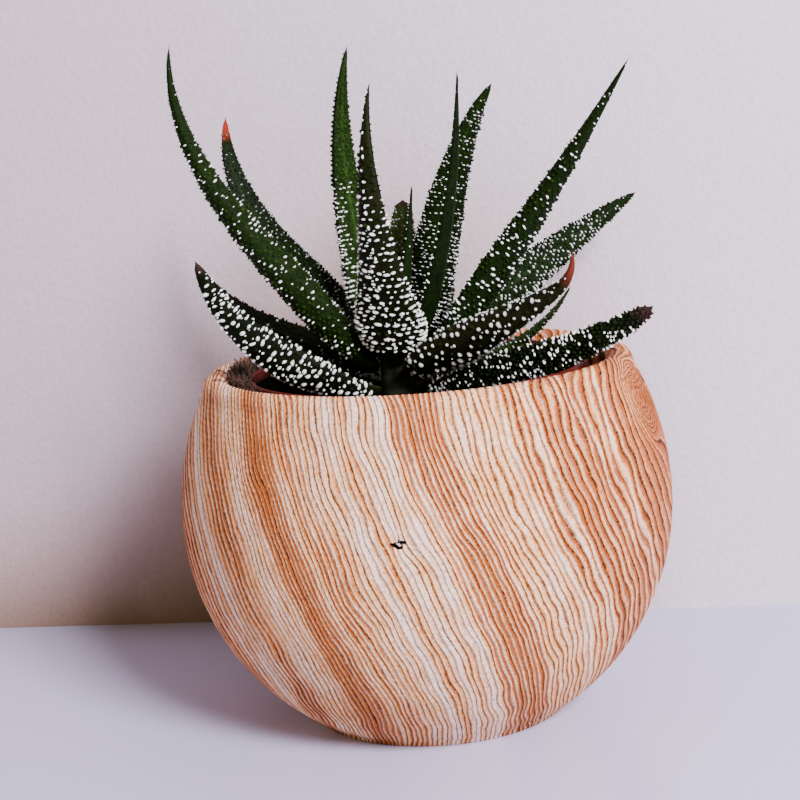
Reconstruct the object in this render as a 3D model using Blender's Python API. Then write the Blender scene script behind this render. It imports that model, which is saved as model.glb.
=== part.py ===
"""Potted succulent: a rosette of pearled, pointed leaves in a thin plastic grow pot, which stands
inside a turned wooden bowl with a tuft of coir packed beside it.

Every size is in millimetres until a mesh or a location is made. The origin is on the table, at
the centre of the bowl's flat base, with Z up; the viewer stands at -Y.
"""

import math
import random
from collections import namedtuple

import bmesh
import bpy
import numpy as np

MM = 0.001
GAP = 0.3  # between pieces that touch on the real thing

# Bowl: two half ellipses, one above and one below its widest line
BOWL_RADIUS = 62.5
BOWL_WIDEST_HEIGHT = 54.0
BOWL_RISE = 68.0  # half axis above the widest line
BOWL_DROP = 62.4  # half axis below it, cut off by the base
BOWL_HOLLOW_RADIUS = 54.5
BOWL_FLOOR = 12.0
BOWL_BASE_ROUND = 1.2
BOWL_FLOOR_ROUND = 2.0
LIP_START_HEIGHT = 87.0
LIP_RISE = 4.0
BOWL_SEGMENTS = 54

# Grow pot: a tapered cup with a rolled rim
GROW_POT_BASE_RADIUS = 29.0
GROW_POT_NECK_RADIUS = 41.0
GROW_POT_RIM_RADIUS = 43.0
GROW_POT_WALL = 1.2
GROW_POT_BOTTOM = BOWL_FLOOR + GAP
GROW_POT_RIM_BOTTOM = 84.7
GROW_POT_TOP = 88.6
GROW_POT_SEGMENTS = 40
DRAIN_HOLES = 4
DRAIN_HOLE_RADIUS = 3.0
DRAIN_CIRCLE_RADIUS = 17.0

# Potting soil
SOIL_TOP = 79.0
SOIL_LUMP = 0.5
SOIL_SEGMENTS = 36

# Stem
STEM_X = -5.0
STEM_RADIUS = 4.8
STEM_FOOT = 66.0
STEM_TOP = 97.0
STEM_SEGMENTS = 20

# Coir tuft: a crescent of fibre in the gap at the left, with loose strands
TUFT_RADIUS = 45.35
TUFT_HALF_WIDTH = 1.85
TUFT_HALF_HEIGHT = 5.5
TUFT_HEIGHT = 83.5
TUFT_FROM, TUFT_TO = 142.0, 214.0
TUFT_STATIONS = 11
TUFT_SIDES = 6
STRANDS = 9
STRAND_RADIUS = 0.5
STRAND_POINTS = 7
STRAND_SIDES = 3
STRAND_SEED = 11

# Leaves
ROOT_WIDTH_SHARE = 0.30  # width at the root, as a share of the full width
ROOT_GROWTH = 0.20  # the share of the length over which a leaf reaches its full width
INNER_SHARE = 0.25  # how much of the thickness lies above the line of the margins
BLADE_LEAST = 0.6
STATION_SPACING = 2.6
WART_HEIGHT = 0.75
WART_FIRST_ROW = 4
INNER_POINTS = 3  # between the margins, on the smooth inner face
OUTER_POINTS = 6  # between the margins, on the warty outer face

# Angles in degrees, sizes in millimetres. azimuth runs counter-clockwise from +X and root_height is
# where the leaf springs from the stem. root_lean and tip_lean are measured from upright, and curl
# says how late the lean changes. sideways turns the azimuth along the leaf, turn rolls the blade
# about its own length, and hook is a last bend of a dried tip.
Leaf = namedtuple(
    "Leaf",
    "azimuth root_height length root_lean tip_lean curl sideways width thickness taper turn hook",
)
LEAVES = (
    # Tall leaf at the far left, then the one behind it with the orange tip
    Leaf(200, 91.2, 97, 42, -11, 3.0, -2, 13.0, 7.5, 0.95, 72, 0),
    Leaf(141, 92.8, 80, 52, -11, 2.8, 11, 15.5, 4.8, 0.75, -45, 0),
    # Upright leaf behind the front one, and the broad front leaf
    Leaf(130, 96.8, 75, 18, -20, 1.7, 6, 15.5, 5.5, 0.85, 0, 0),
    Leaf(268, 92.6, 75, 40, -28, 1.65, -22, 22.0, 5.0, 1.25, -25, 0),
    # Short blunt leaf at the back
    Leaf(84, 91.0, 51, 45, 40, 1.0, 0, 10.0, 4.5, 0.28, 0, 0),
    # Narrow upright leaf right of the centre, and the broad one behind it
    Leaf(330, 95.4, 69, 26, 5, 0.8, -1, 8.0, 4.0, 0.93, 0, 0),
    Leaf(30, 93.2, 72.5, 17, 46, 2.75, 9, 18.0, 6.0, 0.78, 33, 0),
    # The two long leaves at the right
    Leaf(348, 90.5, 92, 49, 33, 0.5, -4, 13.0, 6.5, 1.00, -70, 0),
    Leaf(38, 89.5, 88, 65, 67, 1.4, -4, 16.5, 4.5, 0.70, 60, 0),
    # Right front leaf with the dried, hooked tip, and the one below it
    Leaf(305, 89.5, 66, 70, 51, 2.8, 22, 14.7, 6.2, 0.90, -80, 60),
    Leaf(11, 87.4, 47.5, 90, 34, 1.35, 2, 8.7, 3.5, 0.70, -34, 0),
    # Low leaf that lies over the rim at the right
    Leaf(336, 84.4, 66.5, 80, 57, 2.1, -3, 13.6, 4.5, 0.42, -53, 0),
    # Low leaf at the left front, and the one in its shade
    Leaf(202, 84.4, 61.3, 76, 17, 1.3, 1, 14.0, 5.6, 0.60, 61, 0),
    Leaf(160, 89.5, 55, 72, 28, 2.8, 3, 13.0, 5.0, 0.90, -45, 0),
    # Low leaves at the back
    Leaf(70, 87.1, 48, 83, 45, 1.2, 0, 10.8, 4.4, 0.60, 0, 0),
    Leaf(119, 84.7, 43, 79, 45, 1.2, 0, 11.4, 4.5, 0.60, 0, 0),
)
# Two young spikes stand on top of the stem: azimuth, distance from the axis, and the leaf itself
SPIKES = (
    (1.8, Leaf(322, 97.5, 38, 12, 8, 1.0, 0, 5.5, 2.2, 0.90, 0, 0)),
    (2.2, Leaf(200, 97.5, 28, 0, 14, 1.0, 180, 3.5, 2.0, 0.90, 0, 0)),
)


def clear_scene():
    for obj in list(bpy.data.objects):
        bpy.data.objects.remove(obj, do_unlink=True)


def linear(channel):
    """One sRGB channel, 0 to 1, as linear light."""
    return channel / 12.92 if channel <= 0.04045 else ((channel + 0.055) / 1.055) ** 2.4


def make_material(name, hex_colour, roughness):
    material = bpy.data.materials.new(name)
    material.use_nodes = True
    shader = material.node_tree.nodes["Principled BSDF"]
    rgb = [linear(int(hex_colour[i : i + 2], 16) / 255) for i in (1, 3, 5)]
    shader.inputs["Base Color"].default_value = (*rgb, 1.0)
    shader.inputs["Roughness"].default_value = roughness
    shader.inputs["Metallic"].default_value = 0.0
    return material


def add_object(name, mesh, material, parent, location=(0, 0, 0), turn=0.0):
    """A mesh as a named object; location is in millimetres and turn in degrees about Z."""
    obj = bpy.data.objects.new(name, mesh)
    bpy.context.scene.collection.objects.link(obj)
    obj.parent = parent
    obj.location = [value * MM for value in location]
    obj.rotation_euler = (0.0, 0.0, math.radians(turn))
    obj.data.materials.clear()
    obj.data.materials.append(material)
    return obj


def turned_mesh(name, profile, segments):
    """A closed body turned about Z from (radius, height) points that start and end on the axis."""
    bm = bmesh.new()
    verts = [bm.verts.new((radius * MM, 0.0, height * MM)) for radius, height in profile]
    edges = [bm.edges.new(pair) for pair in zip(verts, verts[1:])]
    bmesh.ops.spin(
        bm,
        geom=verts + edges,
        axis=(0, 0, 1),
        cent=(0, 0, 0),
        angle=2 * math.pi,
        steps=segments,
    )
    bmesh.ops.remove_doubles(bm, verts=bm.verts, dist=1e-6)
    bmesh.ops.recalc_face_normals(bm, faces=bm.faces)
    mesh = bpy.data.meshes.new(name)
    bm.to_mesh(mesh)
    bm.free()
    mesh.shade_smooth()
    mesh.set_sharp_from_angle(angle=math.radians(35))
    return mesh


def bowl_half_axis(height):
    return BOWL_RISE if height > BOWL_WIDEST_HEIGHT else BOWL_DROP


def bowl_radius(height, widest):
    """Radius at a height of an egg form whose widest radius is given."""
    share = (height - BOWL_WIDEST_HEIGHT) / bowl_half_axis(height)
    return widest * math.sqrt(1 - share**2)


def bowl_arc(start, end, widest, count):
    """Points of the egg form from one height to another, evenly spaced in angle."""
    angles = [
        math.asin((height - BOWL_WIDEST_HEIGHT) / bowl_half_axis(height)) for height in (start, end)
    ]
    points = []
    for step in range(count):
        angle = angles[0] + (angles[1] - angles[0]) * step / (count - 1)
        half_axis = BOWL_RISE if angle > 0 else BOWL_DROP
        height = BOWL_WIDEST_HEIGHT + half_axis * math.sin(angle)
        points.append((widest * math.cos(angle), height))
    return points


def bowl_profile():
    """Base, bulging outer wall, round lip, hollow wall and floor."""
    base_radius = bowl_radius(BOWL_BASE_ROUND, BOWL_RADIUS) - BOWL_BASE_ROUND
    points = [(0.0, 0.0), (base_radius, 0.0)]
    points += bowl_arc(BOWL_BASE_ROUND, LIP_START_HEIGHT, BOWL_RADIUS, 13)
    outer = bowl_radius(LIP_START_HEIGHT, BOWL_RADIUS)
    inner = bowl_radius(LIP_START_HEIGHT, BOWL_HOLLOW_RADIUS)
    for step in range(1, 7):
        angle = math.pi * step / 7
        radius = (outer + inner) / 2 + (outer - inner) / 2 * math.cos(angle)
        points.append((radius, LIP_START_HEIGHT + LIP_RISE * math.sin(angle)))
    points += bowl_arc(LIP_START_HEIGHT, BOWL_FLOOR + BOWL_FLOOR_ROUND, BOWL_HOLLOW_RADIUS, 8)
    points.append((bowl_radius(BOWL_FLOOR, BOWL_HOLLOW_RADIUS) - BOWL_FLOOR_ROUND, BOWL_FLOOR))
    points.append((0.0, BOWL_FLOOR))
    return points


def grow_pot_profile():
    """Floor, tapering wall, rolled rim that hangs a little, and the inside back to the axis."""
    neck = GROW_POT_NECK_RADIUS
    rim = GROW_POT_RIM_RADIUS
    inside_floor = GROW_POT_BOTTOM + GROW_POT_WALL
    inside_base = GROW_POT_BASE_RADIUS - GROW_POT_WALL
    return [
        (0.0, GROW_POT_BOTTOM),
        (GROW_POT_BASE_RADIUS - 1.0, GROW_POT_BOTTOM),
        (GROW_POT_BASE_RADIUS, GROW_POT_BOTTOM + 1.0),
        (neck, GROW_POT_RIM_BOTTOM),
        (rim, GROW_POT_RIM_BOTTOM + 0.4),
        (rim, GROW_POT_TOP - 0.6),
        (rim - 0.5, GROW_POT_TOP),
        (neck - 0.4, GROW_POT_TOP),
        (neck - GROW_POT_WALL, GROW_POT_TOP - 0.8),
        (neck - GROW_POT_WALL, GROW_POT_RIM_BOTTOM),
        (inside_base, inside_floor),
        (0.0, inside_floor),
    ]


def cutter(name, radius, bottom, top, centre, sides):
    """An upright cylinder that only cuts."""
    mesh = turned_mesh(name, [(0, bottom), (radius, bottom), (radius, top), (0, top)], sides)
    obj = bpy.data.objects.new(name, mesh)
    bpy.context.scene.collection.objects.link(obj)
    obj.location = (centre[0] * MM, centre[1] * MM, 0.0)
    obj.hide_render = True
    obj.display_type = "WIRE"
    return obj


def cut(obj, tool):
    modifier = obj.modifiers.new(tool.name, "BOOLEAN")
    modifier.operation = "DIFFERENCE"
    modifier.object = tool


def make_grow_pot(parent):
    mesh = turned_mesh("nursery_pot", grow_pot_profile(), GROW_POT_SEGMENTS)
    plastic = make_material("moulded terracotta plastic", "#7A3A2B", 0.5)
    pot = add_object("nursery_pot", mesh, plastic, parent)
    for hole in range(DRAIN_HOLES):
        angle = 2 * math.pi * (hole + 0.5) / DRAIN_HOLES
        centre = (DRAIN_CIRCLE_RADIUS * math.cos(angle), DRAIN_CIRCLE_RADIUS * math.sin(angle))
        bottom = GROW_POT_BOTTOM - 2.0
        top = GROW_POT_BOTTOM + GROW_POT_WALL + 0.2
        cut(pot, cutter(f"drain_cutter_{hole + 1}", DRAIN_HOLE_RADIUS, bottom, top, centre, 10))


def soil_height(radius, angle):
    """Height of the soil's lumpy top: two crossing waves that fade out at the wall."""
    fade = 1 - (radius / GROW_POT_NECK_RADIUS) ** 4
    waves = math.sin(0.42 * radius + 2 * angle) + math.sin(0.31 * radius - 5 * angle + 1.0)
    return SOIL_TOP + SOIL_LUMP * fade * waves


def make_soil(parent):
    """The fill of the grow pot, a gap away from its wall, with a lumpy top and a hole for the stem."""
    bottom = GROW_POT_BOTTOM + GROW_POT_WALL + GAP
    slope = (GROW_POT_NECK_RADIUS - GROW_POT_BASE_RADIUS) / (GROW_POT_RIM_BOTTOM - GROW_POT_BOTTOM)
    inset = GROW_POT_WALL + 2 * GAP
    top_radius = GROW_POT_BASE_RADIUS + slope * (SOIL_TOP - GROW_POT_BOTTOM) - inset
    profile = [(0.0, bottom), (GROW_POT_BASE_RADIUS - inset, bottom)]
    rings = 6
    profile += [(top_radius * (1 - step / rings), SOIL_TOP) for step in range(rings + 1)]
    mesh = turned_mesh("potting_soil", profile, SOIL_SEGMENTS)
    for vert in mesh.vertices:
        x, y, z = (value / MM for value in vert.co)
        if z > SOIL_TOP - 1:
            vert.co.z = soil_height(math.hypot(x, y), math.atan2(y, x)) * MM
    soil = add_object("potting_soil", mesh, make_material("potting mix", "#1E1712", 0.95), parent)
    hole = cutter("stem_hole", STEM_RADIUS + GAP, STEM_FOOT - GAP, SOIL_TOP + 5, (STEM_X, 0), 20)
    cut(soil, hole)


def make_stem(parent):
    """The short stem, which stands in the hole in the soil and carries every leaf."""
    profile = [
        (0.0, STEM_FOOT),
        (STEM_RADIUS - 1.0, STEM_FOOT),
        (STEM_RADIUS, STEM_FOOT + 1.0),
        (STEM_RADIUS, STEM_TOP - 1.2),
        (STEM_RADIUS - 0.8, STEM_TOP - 0.2),
        (STEM_RADIUS - 1.6, STEM_TOP),
        (0.0, STEM_TOP),
    ]
    mesh = turned_mesh("rosette_stem", profile, STEM_SEGMENTS)
    stem = make_material("green stem", "#3C4A26", 0.6)
    add_object("rosette_stem", mesh, stem, parent, (STEM_X, 0, 0))


def tube_mesh(name, path, axes, sides):
    """A closed tube: at each path point a ring of cos and sin times the two given half axes."""
    angles = np.linspace(0, 2 * math.pi, sides, endpoint=False)
    across, along = axes
    rings = (
        path[:, None]
        + across[:, None] * np.cos(angles)[None, :, None]
        + along[:, None] * np.sin(angles)[None, :, None]
    )
    verts = rings.reshape(-1, 3) * MM
    faces = []
    for ring in range(len(path) - 1):
        for side in range(sides):
            here, there = ring * sides, (ring + 1) * sides
            nxt = (side + 1) % sides
            faces.append((here + side, here + nxt, there + nxt, there + side))
    faces.append(tuple(range(sides)))
    faces.append(tuple((len(path) - 1) * sides + side for side in range(sides)))
    mesh = bpy.data.meshes.new(name)
    mesh.from_pydata(verts.tolist(), [], faces)
    bm = bmesh.new()
    bm.from_mesh(mesh)
    bmesh.ops.recalc_face_normals(bm, faces=bm.faces)
    bm.to_mesh(mesh)
    bm.free()
    return mesh


def ring_point(radius, degrees, height):
    angle = math.radians(degrees)
    return (radius * math.cos(angle), radius * math.sin(angle), height)


def tuft_core():
    """A crescent of pressed fibre that thins out to both ends."""
    shares = np.linspace(0, 1, TUFT_STATIONS)
    degrees = TUFT_FROM + (TUFT_TO - TUFT_FROM) * shares
    swell = 0.35 + 0.65 * np.sin(math.pi * shares) ** 0.6
    path = np.array([ring_point(TUFT_RADIUS, a, TUFT_HEIGHT) for a in degrees])
    path[:, 2] += 0.5 * np.sin(9 * math.pi * shares)
    out = np.array([ring_point(1.0, a, 0.0) for a in degrees])
    up = np.tile((0.0, 0.0, 1.0), (TUFT_STATIONS, 1))
    axes = (out * (TUFT_HALF_WIDTH * swell)[:, None], up * (TUFT_HALF_HEIGHT * swell)[:, None])
    return tube_mesh("tuft_core", path, axes, TUFT_SIDES)


def tuft_strand(draw, number):
    """One loose fibre that arches out of the core and dives back into it further on."""
    start = TUFT_FROM + 8 + (TUFT_TO - TUFT_FROM - 34) * number / (STRANDS - 1)
    span = draw.uniform(9, 17)
    rise = draw.uniform(3.0, 6.5)
    side_lean = draw.uniform(-0.9, 0.9)
    shares = np.linspace(0, 1, STRAND_POINTS)
    points = []
    for share in shares:
        arch = math.sin(math.pi * share)
        radius = TUFT_RADIUS + side_lean * arch
        height = TUFT_HEIGHT + TUFT_HALF_HEIGHT - 2.2 + rise * arch
        points.append(ring_point(radius, start + span * share, height))
    path = np.array(points)
    ahead = np.gradient(path, axis=0)
    ahead /= np.linalg.norm(ahead, axis=1)[:, None]
    across = np.cross(ahead, (0.0, 0.0, 1.0))
    across /= np.linalg.norm(across, axis=1)[:, None]
    axes = (across * STRAND_RADIUS, np.cross(ahead, across) * STRAND_RADIUS)
    return tube_mesh(f"tuft_strand_{number + 1}", path, axes, STRAND_SIDES)


def make_tuft(parent):
    """Core and strands joined in one body."""
    tuft = add_object("fibre_tuft", tuft_core(), make_material("coir", "#4A3020", 0.9), parent)
    strands = bpy.data.collections.new("strands")
    bpy.context.scene.collection.children.link(strands)
    draw = random.Random(STRAND_SEED)
    for number in range(STRANDS):
        mesh = tuft_strand(draw, number)
        strands.objects.link(bpy.data.objects.new(mesh.name, mesh))
    join = tuft.modifiers.new("strands", "BOOLEAN")
    join.operation = "UNION"
    join.operand_type = "COLLECTION"
    join.collection = strands
    graph = bpy.context.evaluated_depsgraph_get()
    joined = bpy.data.meshes.new_from_object(tuft.evaluated_get(graph))
    tuft.modifiers.clear()
    tuft.data = joined
    for obj in list(strands.objects):
        bpy.data.objects.remove(obj, do_unlink=True)
    bpy.data.collections.remove(strands)


def leaf_half_width(leaf, share):
    """Half the width along the leaf: quick growth from the root, then the taper to the tip."""
    growth = np.sin(np.clip(share / ROOT_GROWTH, 0, 1) * math.pi / 2)
    taper = 0.93 * (1 - share) ** leaf.taper + 0.07 * (1 - share) ** 0.4
    return leaf.width / 2 * (ROOT_WIDTH_SHARE + (1 - ROOT_WIDTH_SHARE) * growth) * taper


def leaf_thickness(leaf, share, half_width):
    growth = 0.5 + 0.5 * np.sin(np.clip(share / ROOT_GROWTH, 0, 1) * math.pi / 2)
    thickness = np.minimum(leaf.thickness * growth * (1 - share) ** 0.6, 1.5 * half_width)
    return np.maximum(thickness, BLADE_LEAST)


def leaf_directions(leaf, share):
    """Unit vectors along the leaf, across it and out of its inner face, in the leaf's own frame,
    whose X points outwards. The lean runs from root_lean to tip_lean as share to the power curl."""
    last = np.clip((share - 0.84) / 0.16, 0, 1)
    lean = leaf.root_lean + (leaf.tip_lean - leaf.root_lean) * share**leaf.curl - leaf.hook * last
    lean = np.radians(lean)
    swing = np.radians(leaf.sideways * share)
    flat = np.stack([np.cos(swing), np.sin(swing), 0 * swing], axis=-1)
    up = np.array((0.0, 0.0, 1.0))
    along = flat * np.sin(lean)[:, None] + up * np.cos(lean)[:, None]
    across = np.stack([-np.sin(swing), np.cos(swing), 0 * swing], axis=-1)
    inner = up * np.sin(lean)[:, None] - flat * np.cos(lean)[:, None]
    half_way = np.clip(share / 0.5, 0, 1)
    roll = np.radians(leaf.turn) * half_way**2 * (3 - 2 * half_way)
    rolled_across = across * np.cos(roll)[:, None] + inner * np.sin(roll)[:, None]
    rolled_inner = inner * np.cos(roll)[:, None] - across * np.sin(roll)[:, None]
    return along, rolled_across, rolled_inner


def leaf_rings(leaf):
    """Rings of points from root to tip, and the tip point. A ring is a lens: nearly flat inside and
    deep outside. Every other point of the outer face and of the margins is raised as a wart."""
    stations = round(leaf.length / STATION_SPACING)
    share = np.linspace(0, 1, stations + 1)
    middle = (share[1:] + share[:-1]) / 2
    steps = leaf_directions(leaf, middle)[0] * leaf.length / stations
    spine = np.vstack([np.zeros(3), np.cumsum(steps, axis=0)])
    _, across, inner = leaf_directions(leaf, share)
    half_width = leaf_half_width(leaf, share)[:, None]
    thickness = leaf_thickness(leaf, share, half_width[:, 0])[:, None]

    inner_angles = np.linspace(0, math.pi, INNER_POINTS + 2)
    outer_angles = np.linspace(math.pi, 2 * math.pi, OUTER_POINTS + 2)[1:-1]
    angles = np.concatenate([inner_angles, outer_angles])
    depth = np.where(np.sin(angles) > 0, INNER_SHARE, 1 - INNER_SHARE)
    row = np.arange(stations + 1)[:, None]
    column = np.arange(len(angles))
    column = np.where(column == 0, len(angles), column)
    warty = (column > INNER_POINTS) & ((row + column) % 2 == 0)
    warty = warty & (row >= WART_FIRST_ROW) & (row <= stations - 3)
    wart = WART_HEIGHT * np.minimum(1, half_width / 3) * warty
    sideways = (half_width + wart) * np.cos(angles)
    outwards = (thickness * depth + wart) * np.sin(angles)
    rings = spine[:, None] + across[:, None] * sideways[..., None] + inner[:, None] * outwards[..., None]
    return rings[:-1], spine[-1]


def leaf_mesh(name, leaf):
    """Rings joined by triangles whose diagonals alternate, so that each wart is a small pyramid."""
    rings, tip = leaf_rings(leaf)
    count, sides = rings.shape[:2]
    verts = np.vstack([rings.reshape(-1, 3), np.zeros((1, 3)), tip]) * MM
    root_index, tip_index = count * sides, count * sides + 1
    faces = []
    for ring in range(count - 1):
        for side in range(sides):
            nxt = (side + 1) % sides
            a, b = ring * sides + side, ring * sides + nxt
            c, d = b + sides, a + sides
            faces += [(a, b, c), (a, c, d)] if (ring + side) % 2 else [(a, b, d), (b, c, d)]
    last = (count - 1) * sides
    for side in range(sides):
        nxt = (side + 1) % sides
        faces.append((root_index, nxt, side))
        faces.append((tip_index, last + side, last + nxt))
    mesh = bpy.data.meshes.new(name)
    mesh.from_pydata(verts.tolist(), [], faces)
    return mesh


def root_distance(leaf):
    """Distance from the stem's axis to the root, so that the inner face clears the stem by a gap."""
    share = np.zeros(1)
    thickness = leaf_thickness(leaf, share, leaf_half_width(leaf, share))[0]
    return STEM_RADIUS + GAP + INNER_SHARE * thickness * math.cos(math.radians(leaf.root_lean))


def make_leaf(number, leaf, distance, material, parent):
    name = f"leaf_{number:02d}"
    x, y, _ = ring_point(distance, leaf.azimuth, 0)
    location = (STEM_X + x, y, leaf.root_height)
    add_object(name, leaf_mesh(name, leaf), material, parent, location, leaf.azimuth)


def make_leaves(parent):
    skin = make_material("pearled leaf", "#24351F", 0.45)
    for number, leaf in enumerate(LEAVES, start=1):
        make_leaf(number, leaf, root_distance(leaf), skin, parent)
    for number, (distance, leaf) in enumerate(SPIKES, start=len(LEAVES) + 1):
        make_leaf(number, leaf, distance, skin, parent)


def main():
    clear_scene()
    parent = bpy.data.objects.new("potted_succulent", None)
    bpy.context.scene.collection.objects.link(parent)
    bowl = turned_mesh("planter_bowl", bowl_profile(), BOWL_SEGMENTS)
    add_object("planter_bowl", bowl, make_material("brushed wood", "#C99468", 0.7), parent)
    make_grow_pot(parent)
    make_soil(parent)
    make_stem(parent)
    make_tuft(parent)
    make_leaves(parent)


main()
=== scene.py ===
"""Potted succulent: wood, leaves, pearls, soil and coir laid over the CAD model.

Sizes are in millimetres until a mesh is made, in the CAD model's own frame: the origin is on the
table under the middle of the bowl, Z is up and the viewer stands at -Y.
"""

import math
from collections import namedtuple
from functools import partial

import bpy
import numpy as np
from bpy.props import FloatProperty, FloatVectorProperty, IntProperty, PointerProperty
from bpy.types import Operator, Panel, PropertyGroup
from mathutils import Matrix


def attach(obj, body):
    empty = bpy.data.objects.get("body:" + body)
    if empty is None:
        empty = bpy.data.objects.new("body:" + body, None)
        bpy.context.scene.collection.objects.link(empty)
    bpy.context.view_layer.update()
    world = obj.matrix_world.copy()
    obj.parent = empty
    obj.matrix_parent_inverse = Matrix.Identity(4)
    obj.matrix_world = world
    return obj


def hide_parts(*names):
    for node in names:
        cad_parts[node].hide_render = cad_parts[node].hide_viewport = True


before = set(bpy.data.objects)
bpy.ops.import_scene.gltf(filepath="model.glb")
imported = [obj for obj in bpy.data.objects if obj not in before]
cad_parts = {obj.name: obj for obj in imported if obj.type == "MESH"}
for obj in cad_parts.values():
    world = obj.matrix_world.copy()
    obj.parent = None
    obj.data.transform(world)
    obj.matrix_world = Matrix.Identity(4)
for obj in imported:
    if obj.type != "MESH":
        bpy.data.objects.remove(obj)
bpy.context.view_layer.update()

bl_info = {
    "name": "Potted succulent",
    "version": (1, 0, 0),
    "blender": (4, 5, 0),
    "location": "3D View > Sidebar > Succulent",
    "description": "A pearled rosette in a grow pot that stands in a turned wooden bowl",
    "category": "Object",
}

MM = 0.001
BODY = "root"
UP = np.array((0.0, 0.0, 1.0))
WAVES = 7

# Bowl: two half ellipses, one above and one below its widest line
BOWL_RADIUS = 62.5
BOWL_WIDEST_HEIGHT = 54.0
BOWL_RISE = 68.0
BOWL_DROP = 62.4
BOWL_HOLLOW_RADIUS = 54.5
BOWL_FLOOR = 12.0
BOWL_BASE_ROUND = 1.2
BOWL_FLOOR_ROUND = 2.0
LIP_START_HEIGHT = 87.0
LIP_RISE = 4.0
BOWL_COLUMNS = 960
OUTER_ROWS, LIP_ROWS, HOLLOW_ROWS = 72, 9, 11

# Wood grain, by the distance across it: how far apart the lines are, then where orange bands lie,
# as centre, half width and strength
LINE_PITCH = (
    (-70, 1.5), (-45, 1.3), (-34, 1.15), (-28, 1.15), (-20, 1.45), (5, 1.6), (14, 1.25),
    (23, 1.5), (32, 1.8), (46, 1.9), (58, 1.8), (70, 1.5),
)
GRAIN_BANDS = (
    (-58, 6, 0.26), (-45, 4, 0.42), (-30.5, 4.2, 1), (-21, 5, 0.28), (-8, 2, 0.2),
    (12, 6, 0.82), (33, 2.5, 0.45), (40, 3, 0.7), (47, 4, 0.85), (58, 7, 0.9),
)
EYE = np.array((53.4, -20.5, 81.4))  # where a ring lies flat against the outside of the bowl
EYE_STAIN = np.array((60.0, -12.0, 68.0))
KNOT = np.array((-7.1, -61.9, 59.5))

# Grow pot
POT_BASE_RADIUS = 29.0
POT_NECK_RADIUS = 41.0
POT_RIM_RADIUS = 43.0
POT_WALL = 1.2
POT_BOTTOM = 12.3
POT_RIM_BOTTOM = 84.7
POT_TOP = 89.3  # 0.7 mm above the solid's, so that the rim shows as in the photograph
POT_SLOPE = (POT_NECK_RADIUS - POT_BASE_RADIUS) / (POT_RIM_BOTTOM - POT_BOTTOM)
POT_EDGE = np.linspace(0, np.pi / 2, 5)
DRAIN_HOLES = 4
DRAIN_HOLE_RADIUS = 3.0
DRAIN_CIRCLE_RADIUS = 17.0
POT_COLUMNS = 144

# Soil and stem
SOIL_TOP = 79.0
SOIL_RADIUS = 38.0
STEM_X = -5.0
STEM_RADIUS = 4.8
STEM_FOOT = 66.0
STEM_TOP = 97.0
SOIL_COLUMNS, STEM_COLUMNS = 110, 48

# Coir tuft
TUFT_RADIUS = 45.35
TUFT_BOTTOM, TUFT_TOP = 79.0, 93.2
TUFT_FROM, TUFT_TO = 143.0, 210.0
HAIR_STEPS, HAIR_SIDES = 12, 3

# Wall behind the plant: where it meets the table, left and right, and how high it goes
WALL_LEFT, WALL_RIGHT = (-1300.0, 251.0), (1300.0, -100.0)
WALL_HEIGHT = 1500.0
TABLE_HALF = 1400.0

# Camera: yaw, pitch and roll in degrees, place in metres, and focal length by picture width
CAMERA_TURNS = (-0.64, -10.2, 4.17)
CAMERA_PLACE = (0.0, -0.45, 0.1616)
CAMERA_FOCUS = 1797 / 800
SENSOR = 36.0

# Lights: where they look, the fill by the window, and the room
LIGHT_TARGET = (0.0, 0.0, 0.09)
FILL_SHARE = 0.055
ROOM_STRENGTH = 0.1

# Leaf form
ROOT_WIDTH_SHARE = 0.30
ROOT_GROWTH = 0.20
INNER_SHARE = 0.25
BLADE_LEAST = 0.6
LEAF_STEPS = 300
LEAF_SIDES, PEARL_SIDES = 40, 7
GREEN_STRETCH = 1.5  # how much longer than a white pearl a green bump is

# The same values as the solids: angles in degrees, sizes in millimetres
Leaf = namedtuple(
    "Leaf",
    "azimuth root_height length root_lean tip_lean curl sideways width thickness taper turn hook",
)
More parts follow.
